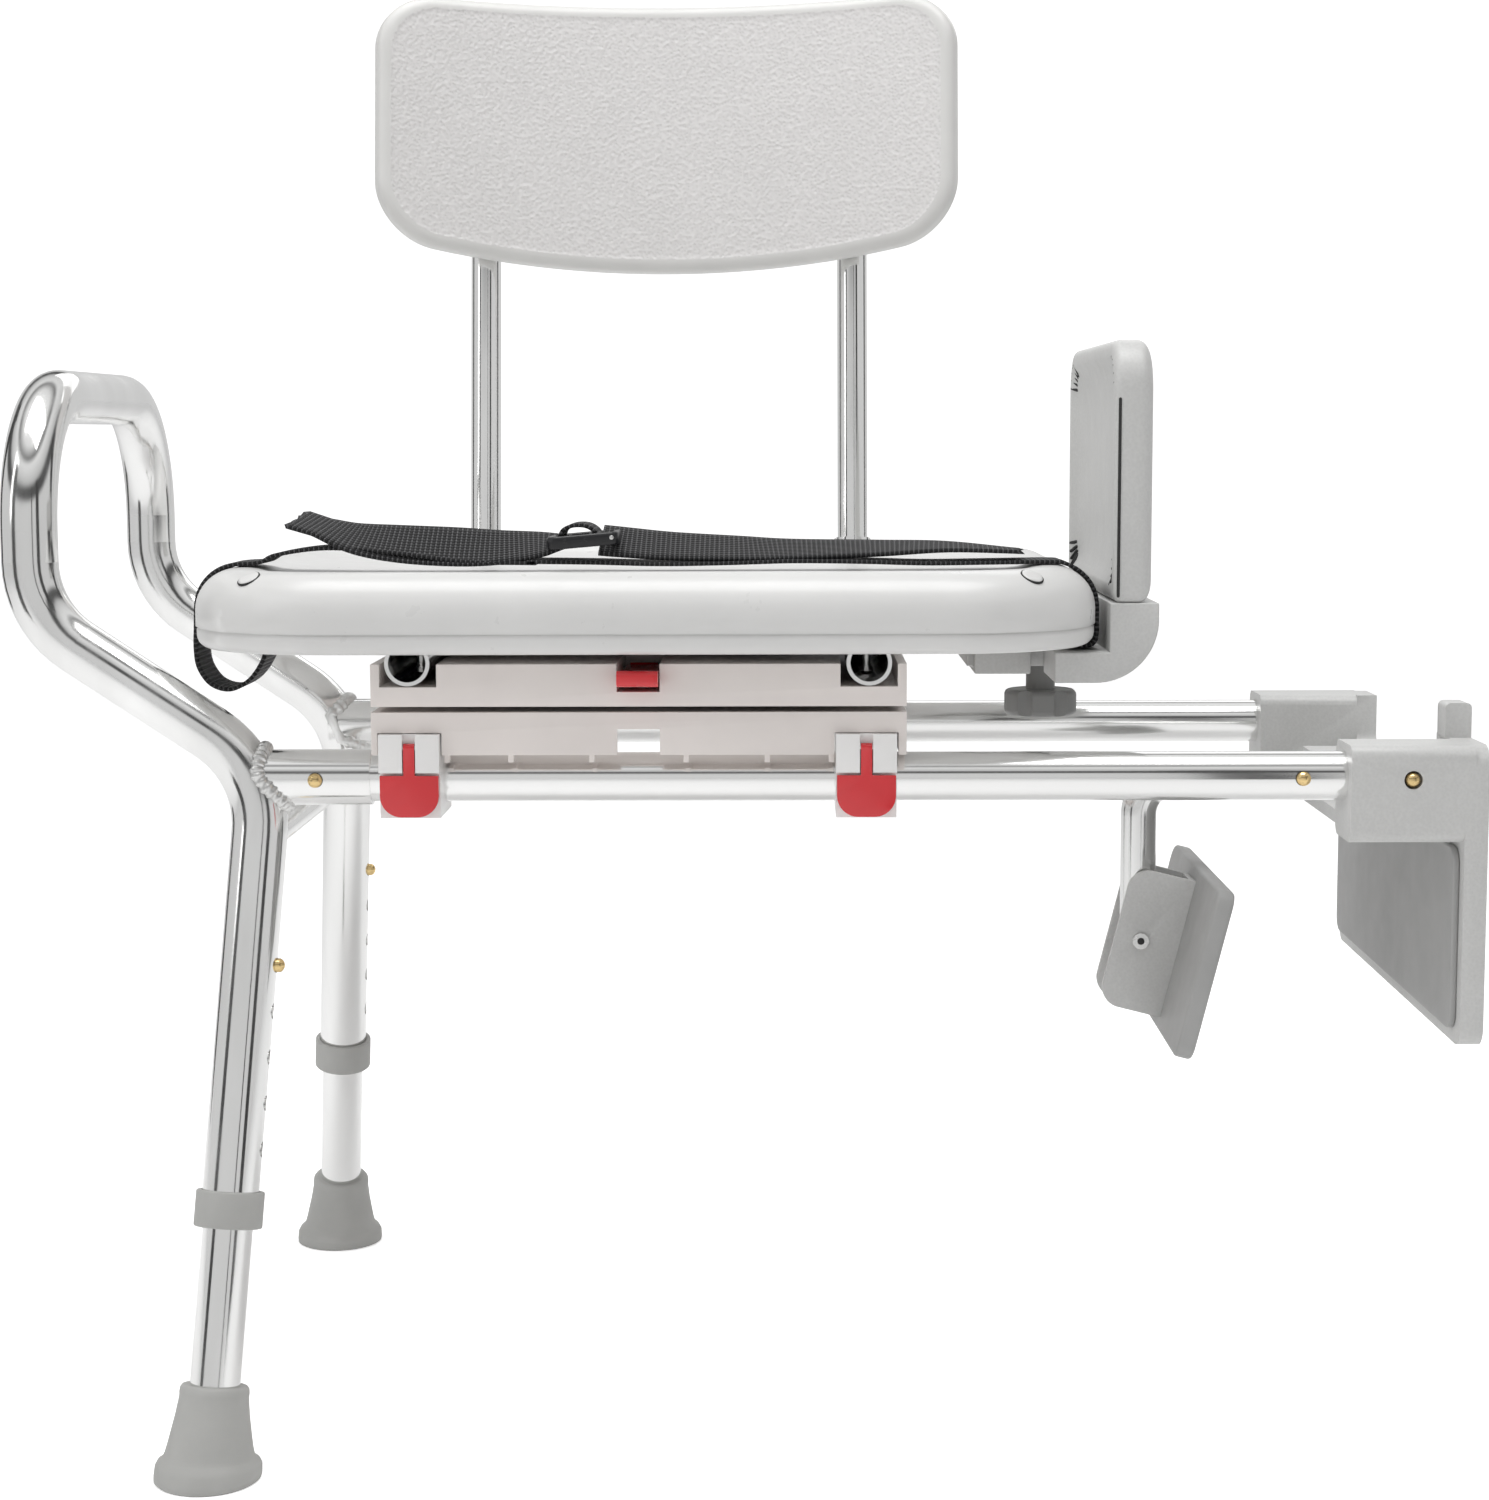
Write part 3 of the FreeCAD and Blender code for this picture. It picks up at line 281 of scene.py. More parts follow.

# the second tone is a painted highlight: the crests of the ribs and threads are painted grey over the black
# webbing
weave = {"tone": (0.003, 0.003, 0.004), "paintedCrestHighlight": (0.12, 0.12, 0.125), "paintedCrestHighlightFrom": (0.62, 0.98),
         "ribsPerMetre": 350,
         "threadsAcross": 13, "threadShare": 0.45, "deep": 0.0005, "strength": 0.9, "rough": 0.72,
         "sheen": 0.08, "sheenRough": 0.4}


def makeWebbing():
    paint = bpy.data.materials.new("wovenWebbing")
    paint.use_nodes = True
    nodes, links = paint.node_tree.nodes, paint.node_tree.links
    shader = nodes["Principled BSDF"]
    shader.inputs["Roughness"].default_value = weave["rough"]
    shader.inputs["Sheen Weight"].default_value = weave["sheen"]
    shader.inputs["Sheen Roughness"].default_value = weave["sheenRough"]
    layout = nodes.new("ShaderNodeUVMap")
    layout.uv_map = "strapLength"
    split = nodes.new("ShaderNodeSeparateXYZ")
    links.new(layout.outputs[0], split.inputs[0])

    def ridge(output, count):
        turns, wave = nodes.new("ShaderNodeMath"), nodes.new("ShaderNodeMath")
        turns.operation, wave.operation = "MULTIPLY", "SINE"
        turns.inputs[1].default_value = 2 * math.pi * count
        links.new(output, turns.inputs[0])
        links.new(turns.outputs[0], wave.inputs[0])
        return wave.outputs[0]

    ribs = ridge(split.outputs["X"], weave["ribsPerMetre"])
    threads = ridge(split.outputs["Y"], weave["threadsAcross"])
    cross = nodes.new("ShaderNodeMath")
    cross.operation = "MULTIPLY_ADD"
    links.new(threads, cross.inputs[0])
    cross.inputs[1].default_value = weave["threadShare"]
    links.new(ribs, cross.inputs[2])
    bump = nodes.new("ShaderNodeBump")
    bump.inputs["Distance"].default_value = weave["deep"]
    bump.inputs["Strength"].default_value = weave["strength"]
    links.new(cross.outputs[0], bump.inputs["Height"])
    links.new(bump.outputs[0], shader.inputs["Normal"])
    # painted highlight: the weave's crests take the grey tone, its dips stay black
    ramp = nodes.new("ShaderNodeValToRGB")
    for element, place, tone in zip(ramp.color_ramp.elements, weave["paintedCrestHighlightFrom"],
                                    (weave["tone"], weave["paintedCrestHighlight"])):
        element.position, element.color = place, (*tone, 1)
    level = nodes.new("ShaderNodeMapRange")
    level.inputs["From Min"].default_value, level.inputs["From Max"].default_value = -1.4, 1.4  # both ridges
    links.new(cross.outputs[0], level.inputs["Value"])
    links.new(level.outputs[0], ramp.inputs[0])
    links.new(ramp.outputs[0], shader.inputs["Base Color"])
    return paint


paints["wovenWebbing"] = makeWebbing()
print("finishes made:", len(paints))


# ---- surfaces from numpy

def addPiece(name, points, faces, body, finish, stands=(), layout=None, slots=None):
    # layout is a point's place along and across the strap; slots is the finish number of each face
    mesh = bpy.data.meshes.new(name)
    mesh.from_pydata(points.reshape(-1, 3).tolist(), [], faces)
    for each in ([finish] if isinstance(finish, str) else finish):
        mesh.materials.append(paints[each])
    if slots is not None:
        mesh.polygons.foreach_set("material_index", slots)
    if layout is not None:
        corners = np.zeros(len(mesh.loops), np.int32)
        mesh.loops.foreach_get("vertex_index", corners)
        mesh.uv_layers.new(name="strapLength").data.foreach_set("uv", layout[corners].ravel())
    mesh.polygons.foreach_set("use_smooth", np.full(len(mesh.polygons), True))
    piece = bpy.data.objects.new(name, mesh)
    scene.collection.objects.link(piece)
    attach(piece, body)
    if stands:
        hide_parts(*stands)
    return piece


def ringFaces(rings, around):
    # quads between neighbouring rings, each ring closed on itself, and a fan at each end onto a pole
    first = np.arange(around)
    step = np.arange(rings - 1)[:, None] * around
    here, there = step + first, step + (first + 1) % around
    quads = np.stack([here, there, there + around, here + around], -1).reshape(-1, 4)
    low, high = rings * around, rings * around + 1
    last = (rings - 1) * around
    foot = [(low, int(b), int(a)) for a, b in zip(first, (first + 1) % around)]
    top = [(high, int(last + a), int(last + b)) for a, b in zip(first, (first + 1) % around)]
    return quads.tolist() + foot + top


def loopFaces(count, around):
    # quads between neighbouring rings, the last joined to the first
    here = np.arange(count)[:, None] * around + np.arange(around)
    there = np.arange(count)[:, None] * around + (np.arange(around) + 1) % around
    ahead, aheadThere = (here + around) % (count * around), (there + around) % (count * around)
    return np.stack([here, ahead, aheadThere, there], -1).reshape(-1, 4)


def shell(name, rings, body, finish, stands=(), ringSlot=None, layout=None):
    # rings is (ring, around, xyz) from the first pole to the last; each pole is its own ring's middle
    count, around, _ = rings.shape
    poles = np.stack([rings[0].mean(0), rings[-1].mean(0)])
    points = np.vstack([rings.reshape(-1, 3), poles])
    slots = None
    if ringSlot is not None:
        slots = np.concatenate([np.repeat(np.asarray(ringSlot[:count - 1]), around),
                                np.full(around, ringSlot[0]), np.full(around, ringSlot[-1])]).astype(np.int32)
    return addPiece(name, points, ringFaces(count, around), body, finish, stands, slots=slots, layout=layout)


def roundedOutline(halfA, halfB, radius, perCorner=24, perSide=24):
    # counterclockwise rounded rectangle: four quarter circles joined by straight runs, evenly divided
    radius = max(min(radius, halfA - 1e-4, halfB - 1e-4), 1e-4)
    turn = np.linspace(0, math.pi / 2, perCorner)
    corners = []
    for number, (a, b) in enumerate(((1, 1), (-1, 1), (-1, -1), (1, -1))):
        angle = turn + number * math.pi / 2
        corners.append(np.stack([a * (halfA - radius) + radius * np.cos(angle),
                                 b * (halfB - radius) + radius * np.sin(angle)], -1))
    pieces = []
    for this, following in zip(corners, corners[1:] + corners[:1]):
        share = np.linspace(0, 1, perSide + 2)[1:-1, None]
        pieces += [this, this[-1] * (1 - share) + following[0] * share]
    return np.vstack(pieces)


def drawnIn(outline, shares=(0.8, 0.6, 0.4, 0.2, 0.05)):
    # smaller copies of an outline about its middle, so that the pole's fan is short
    return [outline * share for share in shares]


def moulded(profile, outlineAt, placed):
    # rings for a profile of (inset, depth); the first and the last outline are drawn in to their middle
    rings = [placed(outlineAt(inset), depth) for inset, depth in profile]
    (firstInset, firstDepth), (lastInset, lastDepth) = profile[0], profile[-1]
    first = [placed(small, firstDepth) for small in drawnIn(outlineAt(firstInset))]
    last = [placed(small, lastDepth) for small in drawnIn(outlineAt(lastInset))]
    return np.array(first[::-1] + rings + last)


def curveThrough(points, perSpan=10):
    # Catmull-Rom curve through the points, each span cut into equal steps
    knots = np.array(points, float)
    padded = np.vstack([2 * knots[0] - knots[1], knots, 2 * knots[-1] - knots[-2]])
    share = np.linspace(0, 1, perSpan, endpoint=False)[:, None]
    spans = []
    for a, b, c, d in zip(padded, padded[1:], padded[2:], padded[3:]):
        spans.append(0.5 * (2 * b + (c - a) * share + (2 * a - 5 * b + 4 * c - d) * share ** 2
                            + (3 * b - a - 3 * c + d) * share ** 3))
    return np.vstack(spans + [knots[-1:]])


def arcPoints(centre, radius, start, end, count=7):
    angle = np.radians(np.linspace(start, end, count))
    return [(centre[0] + radius * math.cos(a), centre[1] + radius * math.sin(a)) for a in angle]


# ---- moulded seat

seatLow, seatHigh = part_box("seat")
seatShape = {"corner": 0.088, "crown": 0.024, "foot": 0.0075, "seam": 0.0115, "lip": 0.03, "dish": 0.0032,
             "underside": 0.0035}


def makeSeat():
    # rings of one rounded rectangle: each ring is drawn in by the profile's inset and set at its height
    half, middle = (seatHigh - seatLow) / 2, (seatHigh + seatLow) / 2
    low, high, s = seatLow.z, seatHigh.z, seatShape
    seam, lip, under, floor = low + s["seam"], s["lip"], low + s["underside"], high - s["dish"]
    profile = [(0.17, under), (0.08, under), (0.026, under), (0.021, under), (0.018, low + 0.0006),
               (0.0135, low)]
    profile += arcPoints((s["foot"] + 0.0006, low + s["foot"]), s["foot"], 270, 180)
    profile += [(0.0006, seam - 0.0008), (0.0014, seam - 0.0003), (0.0014, seam + 0.0003),
                (0.0, seam + 0.0009)]
    profile += arcPoints((s["crown"], high - s["crown"]), s["crown"], 180, 90, 14)
    profile += [(lip, high), (lip + 0.006, high - 0.0008), (lip + 0.012, high - s["dish"] * 0.75),
                (lip + 0.02, floor), (0.09, floor - 0.0006), (0.17, floor - 0.001)]

    def outlineAt(inset):
        return roundedOutline(half.x - inset, half.y - inset, s["corner"] - inset)

    def placed(outline, z):
        return np.column_stack([outline + (middle.x, middle.y), np.full(len(outline), z)])

    rings = moulded(profile, outlineAt, placed)
    piece = shell("seatMoulding", rings, bodyOf["seat"], "seatPlastic", ["seat"])


makeSeat()


def lathed(name, profile, centre, axis, body, finish, around=32):
    # rings of (radius, height) about an axis through the centre
    axis = np.array(axis, float) / np.linalg.norm(axis)
    side = np.cross(axis, (0, 0, 1) if abs(axis[2]) < 0.9 else (0, 1, 0))
    side /= np.linalg.norm(side)
    up = np.cross(axis, side)
    angle = np.linspace(0, 2 * math.pi, around, endpoint=False)
    circle = np.cos(angle)[:, None] * side + np.sin(angle)[:, None] * up
    rings = [np.array(centre) + axis * high + circle * radius for radius, high in profile]
    return shell(name, np.array(rings), body, finish)


plug = {"radius": 0.0068, "inset": 0.012, "turn": 52}


def makePlug(side):
    # a round plug let into the rounded edge at a front corner: it stands square to the crown's arc there
    word = "left" if side < 0 else "right"
    corner, crown = seatShape["corner"], seatShape["crown"]
    turn = math.radians(plug["turn"])
    out = np.array((side * math.cos(turn), -math.sin(turn), 0))
    tilt = math.acos((crown - plug["inset"]) / crown)  # the crown's normal above the level
    middle, half = (seatLow + seatHigh) / 2, (seatHigh - seatLow) / 2
    place = np.array((middle.x + side * (half.x - corner), middle.y - half.y + corner, seatHigh.z - crown))
    axis = out * math.cos(tilt) + np.array((0, 0, math.sin(tilt)))
    place = place + out * (corner - crown) + axis * crown
    r = plug["radius"]
    ring = [(0.002, -0.004), (r, -0.004), (r, 0.0), (r - 0.0008, 0.0003)]
    cap = [(0.002, -0.003), (r - 0.0006, -0.003), (r - 0.0007, 0.0004), (r - 0.002, 0.0008), (0.002, 0.0009)]
    # the groove is a near-black cup round the disc: painted shade in the gap between plug and seat
    groove = lathed(f"seatPlugGroove_{word}", ring, place, axis, bodyOf["seat"], "darkGap")
    disc = lathed(f"seatPlug_{word}", cap, place, axis, bodyOf["seat"], "seatPlastic")


makePlug(-1)
makePlug(1)


# ---- backrest

back = {"thick": 0.017, "tall": 0.187, "corner": 0.042, "bow": 0.020, "rim": 0.0085, "lean": 8.0,
        "curve": 0.471,
        "closing": (0.93, 0.85, 0.76, 0.66, 0.56, 0.46, 0.36, 0.26, 0.16, 0.08, 0.02)}
backLow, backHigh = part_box("back_panel")


def makeBackrest():
    # rings of a rounded rectangle in arc length and height, bent round an upright cylinder and leant back
    lean = math.radians(back["lean"])
    middleX = (backLow.x + backHigh.x) / 2
    outerCurve = back["curve"] + back["thick"]
    halfWide = math.asin((backHigh.x - backLow.x) / 2 / outerCurve) * outerCurve
    cos, sin = math.cos(lean), math.sin(lean)
    tall, closing = back["tall"], back["closing"]
    profile = [(0.02, 1.0), (0.012, 0.985)]
    profile += [(0.0055 * (1 - math.sin(a)), 0.68 + 0.30 * math.cos(a))
                for a in np.linspace(0.2, math.pi / 2, 6)]
    profile += [(0.0, 0.45)]
    profile += [(0.008 * (1 - math.cos(a)), 0.35 * (1 - math.sin(a)))
                for a in np.linspace(0.1, math.pi / 2, 9)]
    profile += [(back["rim"], 0.0), (back["rim"] + 0.0008, 0.015), (back["rim"] + 0.0018, 0.022),
                (back["rim"] + 0.004, 0.022), (back["rim"] + 0.010, 0.02), (0.03, 0.02)]
    flats = []
    for inset, depth in profile:
        outline = roundedOutline(halfWide - inset, tall / 2 - inset, back["corner"] - inset * 0.7)
        flats.append((outline, inset, depth))
    flats = ([(flats[0][0] * share, flats[0][1], flats[0][2]) for share in closing[::-1]] + flats
             + [(flats[-1][0] * share, flats[-1][1], flats[-1][2]) for share in closing])
    rings = []
    for outline, inset, depth in flats:
        along, up = outline[:, 0], outline[:, 1]
        lower = np.clip(0.5 - up / (tall - 2 * inset), 0, 1)
        up = up + lower * back["bow"] * ((along / halfWide) ** 2)
        turn = along / outerCurve  # arc length to angle
        radius = back["curve"] + depth * back["thick"]
        rings.append(np.column_stack([radius * np.sin(turn), radius * np.cos(turn) - back["curve"], up]))
    rings = np.array(rings)
    y, z = rings[..., 1] * cos + rings[..., 2] * sin, rings[..., 2] * cos - rings[..., 1] * sin
    rings[..., 1] = y + backLow.y - y.min()
    rings[..., 2] = z + backHigh.z - z.max()
    rings[..., 0] += middleX
    fieldFrom = len(flats) - len(closing) - 6  # the grained field is the rim's six rings and all inside them
    slots = [1] * fieldFrom + [0] * (len(flats) - fieldFrom)
    piece = shell("backrestMoulding", rings[::-1], bodyOf["back_panel"], ["backPlastic", "rimPlastic"],
                  ["back_panel"], slots[::-1])


makeBackrest()
print("seat and backrest made")


# ---- side arm panel

armLow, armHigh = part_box("arm_panel")
arm = {"corner": 0.026, "lowCorner": 0.004, "round": 0.005, "outerWide": 0.012, "outerDeep": 0.008,
       "rim": 0.009,
       "dish": 0.0075, "slots": 5, "slotWide": 0.0011, "slotTurn": 0.027, "slotReach": (0.0178, 0.0108),
       "gap": 0.0009}


def makeArm():
    # rings of a rounded rectangle in Y and Z; the profile runs from the outer face to the dished one
    half, middle = (armHigh - armLow) / 2, (armHigh + armLow) / 2
    inner, outer, r = armLow.x, armHigh.x, arm["round"]
    wide, deep, rim = arm["outerWide"], arm["outerDeep"], arm["rim"]
    profile = [(0.03, outer), (wide, outer - 0.0002)]
    profile += [(wide * (1 - math.sin(a)), outer - deep + (deep - 0.0002) * math.cos(a))
                for a in np.linspace(0.15, math.pi / 2, 8)]
    profile += [(r * (1 - math.cos(a)), inner + r - r * math.sin(a)) for a in np.linspace(0, math.pi / 2, 6)]
    profile += [(rim, inner), (rim + 0.0015, inner + 0.0006), (rim + 0.005, inner + 0.003),
                (rim + 0.012, inner + 0.0055), (rim + 0.026, inner + arm["dish"])]

    def outlineAt(inset):
        # the lower corners stay nearly square where the elbow takes over
        outline = roundedOutline(half.y - inset, half.z - inset, arm["corner"] - inset * 0.6)
        square = roundedOutline(half.y - inset, half.z - inset, arm["lowCorner"])
        return np.where(outline[:, 1:] < 0, square, outline)

    def placed(outline, x):
        return np.column_stack([np.full(len(outline), x), outline + (middle.y, middle.z)])

    rings = moulded(profile, outlineAt, placed)
    piece = shell("armMoulding", rings[::-1], bodyOf["arm_panel"], "bracketPlastic", ["arm_panel"])


makeArm()


def capsule(name, start, end, radius, body, finish, around=12):
    # a rod with rounded ends: rings along the line whose radius follows a half circle at each end
    start, end = np.array(start, float), np.array(end, float)
    run = end - start
    run /= np.linalg.norm(run)
    side = np.cross(run, (0, 0, 1) if abs(run[2]) < 0.9 else (0, 1, 0))
    side /= np.linalg.norm(side)
    up = np.cross(side, run)
    bend = np.linspace(0.12, math.pi / 2, 5)
    offsets = np.concatenate([-np.cos(bend), np.cos(bend[::-1])])
    radii = np.concatenate([np.sin(bend), np.sin(bend[::-1])]) * radius
    base = np.concatenate([np.repeat(start[None], 5, 0), np.repeat(end[None], 5, 0)])
    angle = np.linspace(0, 2 * math.pi, around, endpoint=False)
    circle = np.cos(angle)[:, None] * side + np.sin(angle)[:, None] * up
    rings = (base + offsets[:, None] * radius * run)[:, None] + radii[:, None, None] * circle
    return shell(name, rings, body, finish)


def makeArmDetails():
    # painted shade: a near-black rod for the parting gap up the front end, and short near-black drain slots
    # round the dish's corners, dark for the shadow inside them
    x, front = armLow.x, armLow.y + 0.0003
    body = bodyOf["arm_panel"]
    gap = capsule("armPartingGap", (x + 0.0028, front, armLow.z + 0.004),
                  (x + 0.0028, front, armHigh.z - 0.034),
                  arm["gap"], body, "darkGap")
    middle, half = (armLow + armHigh) / 2, (armHigh - armLow) / 2
    turnY, turnZ = half.y - arm["slotTurn"], half.z - arm["slotTurn"]  # the corners' centres
    number = 0
    for end in (-1, 1):
        for level in (-1, 1):
            for step in range(arm["slots"]):
                number += 1
                angle = math.radians(8 + 18 * step)
                ends = [(middle.y + end * (turnY + reach * math.cos(angle)),
                         middle.z + level * (turnZ + reach * math.sin(angle))) for reach in arm["slotReach"]]
                piece = capsule(f"armDrainSlot{number}", (x + 0.0009, *ends[0]), (x + 0.0038, *ends[1]),
                                arm["slotWide"], body, "darkGap")


makeArmDetails()
print("side arm made")


# ---- rubber feet and collars

foot = {"base": 0.030, "around": 64, "leant": 0.02,  # the rings lean fully from this height up
        "profile": ((0.020, 0.0), (0.0285, 0.0), (0.0298, 0.0008), (0.030, 0.003), (0.0297, 0.0075),
                    (0.0285, 0.0098), (0.0262, 0.0112), (0.0250, 0.0135), (0.0238, 0.018), (0.0222, 0.026),
                    (0.0207, 0.034), (0.0197, 0.041), (0.0193, 0.0445), (0.0195, 0.0462), (0.0192, 0.0488),
                    (0.0182, 0.0502), (0.0165, 0.0504), (0.0145, 0.0498))}


def legLine(side):
    # the leg's middle line, from its foot on the floor up through its collar
    low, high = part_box(f"foot_tip_{side}")
    collarLow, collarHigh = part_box(f"leg_collar_{side}")
    y = low.y + foot["base"] if side == "front" else high.y - foot["base"]
    return np.array([low.x + foot["base"], y, 0.0]), np.array((collarLow + collarHigh) / 2)


def legFrame(side):
    ground, waist = legLine(side)
    run = (waist - ground) / np.linalg.norm(waist - ground)
    across = np.array((1.0, 0, 0)) - run * run[0]
    across /= np.linalg.norm(across)
    return ground, run, across, np.cross(run, across)


def makeFoot(side):
    # level rings at the floor that lean over to follow the leg; the radius follows the tip's profile
    ground, run, across, over = legFrame(side)
    angle = np.linspace(0, 2 * math.pi, foot["around"], endpoint=False)[:, None]
    level = np.hstack([np.cos(angle), np.sin(angle), np.zeros_like(angle)])
    leant = np.cos(angle) * across + np.sin(angle) * over
    rings = []
    for radius, height in foot["profile"]:
        share = min(height / foot["leant"], 1.0)
        rings.append(ground + run * (height / run[2]) + (level * (1 - share) + leant * share) * radius)
    node = f"foot_tip_{side}"
    piece = shell(f"footTip_{side}", np.array(rings), bodyOf[node], "footRubber", [node])


for side in ("front", "rear"):
    makeFoot(side)
print("feet made")


# ---- weld beads

weld = {"radius": 0.0040, "ripples": 26, "ripple": 0.13, "drift": 0.08, "around": 12, "rays": 176,
        "clear": 1.02, "barWall": 0.0082}


def tubeAlong(name, line, radii, body, finish, around):
    # circles of the given radii, square to a closed line, joined into one ring
    ahead = np.roll(line, -1, 0) - np.roll(line, 1, 0)
    ahead /= np.linalg.norm(ahead, axis=1)[:, None]
    out = line - line.mean(0)
    side = out - (out * ahead).sum(1)[:, None] * ahead
    side /= np.linalg.norm(side, axis=1)[:, None]
    up = np.cross(ahead, side)
    angle = np.linspace(0, 2 * math.pi, around, endpoint=False)
    circle = np.cos(angle)[None, :, None] * side[:, None] + np.sin(angle)[None, :, None] * up[:, None]
    points = line[:, None] + radii[:, None, None] * circle
    return addPiece(name, points, loopFaces(len(line), around).tolist(), body, finish)


def weldBead(name, start, direction, radius):
    # the saddle where a round tube meets the frame: rays down the tube's wall find the frame's surface
    direction = np.array(direction, float)
    direction /= np.linalg.norm(direction)
    side = np.cross(direction, (0, 1, 0) if abs(direction[1]) < 0.9 else (1, 0, 0))
    side /= np.linalg.norm(side)
    up = np.cross(side, direction)
    turn = np.linspace(0, 2 * math.pi, weld["rays"], endpoint=False)
    wall = np.array(start) + radius * (np.cos(turn)[:, None] * side + np.sin(turn)[:, None] * up)
    line = []
    for point in wall:
        hit, place, _, _ = frame["nodes"]["leg_frame"].ray_cast(Vector(point), Vector(direction))
        if hit:
            line.append(list(place))
    line = np.array(line)
    wave = np.linspace(0, 2 * math.pi * weld["ripples"], len(line), endpoint=False)
    radii = weld["radius"] * (1 + weld["ripple"] * np.sin(wave) + weld["drift"] * np.sin(wave * 0.37))
    piece = tubeAlong(name, line, radii, bodyOf["leg_frame"], "weldMetal", weld["around"])


for side in ("front", "rear"):
    low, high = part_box(f"rail_sleeve_{side}")
    middle = (low + high) / 2
    weldBead(f"sleeveWeld_{side}", (high.x, middle.y, middle.z), (-1, 0, 0),
             (high.z - low.z) / 2 * weld["clear"])
barLow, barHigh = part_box("leg_cross_bar")
for side, sign in (("front", -1), ("rear", 1)):
    weldBead(f"barWeld_{side}", (barLow + barHigh) / 2, (0, sign, 0), weld["barWall"])
print("weld beads made")

rivetLow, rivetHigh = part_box("pad_rivet")
rivet = (rivetLow + rivetHigh) / 2
# the rivet's eye is a near-black disc: painted shade in the rivet's hollow
eyeProfile = [(0.0005, -0.001), (0.0022, -0.001), (0.0022, 0.0003), (0.0016, 0.0006), (0.0005, 0.0007)]
eye = lathed("rivetEye", eyeProfile, (rivet.x, rivetLow.y, rivet.z), (0, -1, 0), bodyOf["pad_rivet"],
             "darkGap", 20)


# ---- belt

strap = {"wide": 0.038, "thick": 0.0022, "across": 9, "inset": 0.0012, "bulge": 0.0018}
flatAcross = (0, 1, 0)


def ribbon(name, line, across, body, stands=(), jagged=0.0):
    # a flat band: four edges carried along the line, with the weave's length and width kept as its layout
    line, across = np.array(line, float), np.array(across, float)
    ahead = np.gradient(line, axis=0)
    ahead /= np.linalg.norm(ahead, axis=1)[:, None]
    across = across - (across * ahead).sum(1)[:, None] * ahead
    across /= np.linalg.norm(across, axis=1)[:, None]
    face = np.cross(ahead, across)
    share = np.linspace(-1, 1, strap["across"])
    half, thick = strap["wide"] / 2, strap["thick"] / 2
    top = line[:, None] + across[:, None] * share[None, :, None] * half + face[:, None] * thick
    bottom = line[:, None] + across[:, None] * share[None, ::-1, None] * half - face[:, None] * thick
    rings = np.concatenate([top, bottom], 1)
    if jagged:
        fray = np.sin(np.arange(2 * strap["across"]) * 2.7) * jagged
        rings[-1] += ahead[-1] * fray[:, None]
    length = np.concatenate([[0], np.cumsum(np.linalg.norm(np.diff(line, axis=0), axis=1))])
    width = np.concatenate([(share + 1) / 2, (share[::-1] + 1) / 2])
    layout = np.stack(np.meshgrid(length, width, indexing="ij"), -1).reshape(-1, 2)
    layout = np.vstack([layout, [[0, 0.5], [length[-1], 0.5]]]).astype(np.float32)
    piece = shell(name, rings, body, "wovenWebbing", stands, layout=layout)
    return piece


def looseEnd(name, points, tiltAt, node, jagged):
    # a free end of the strap; tiltAt gives how far it stands on edge, in degrees, along its length
    line = curveThrough(points)
    tilt = np.radians(tiltAt(np.linspace(0, 1, len(line))))
    across = np.stack([np.zeros(len(line)), np.cos(tilt), np.sin(tilt)], -1)
    ribbon(name, line, across, bodyOf["belt_lap"], [node], jagged)


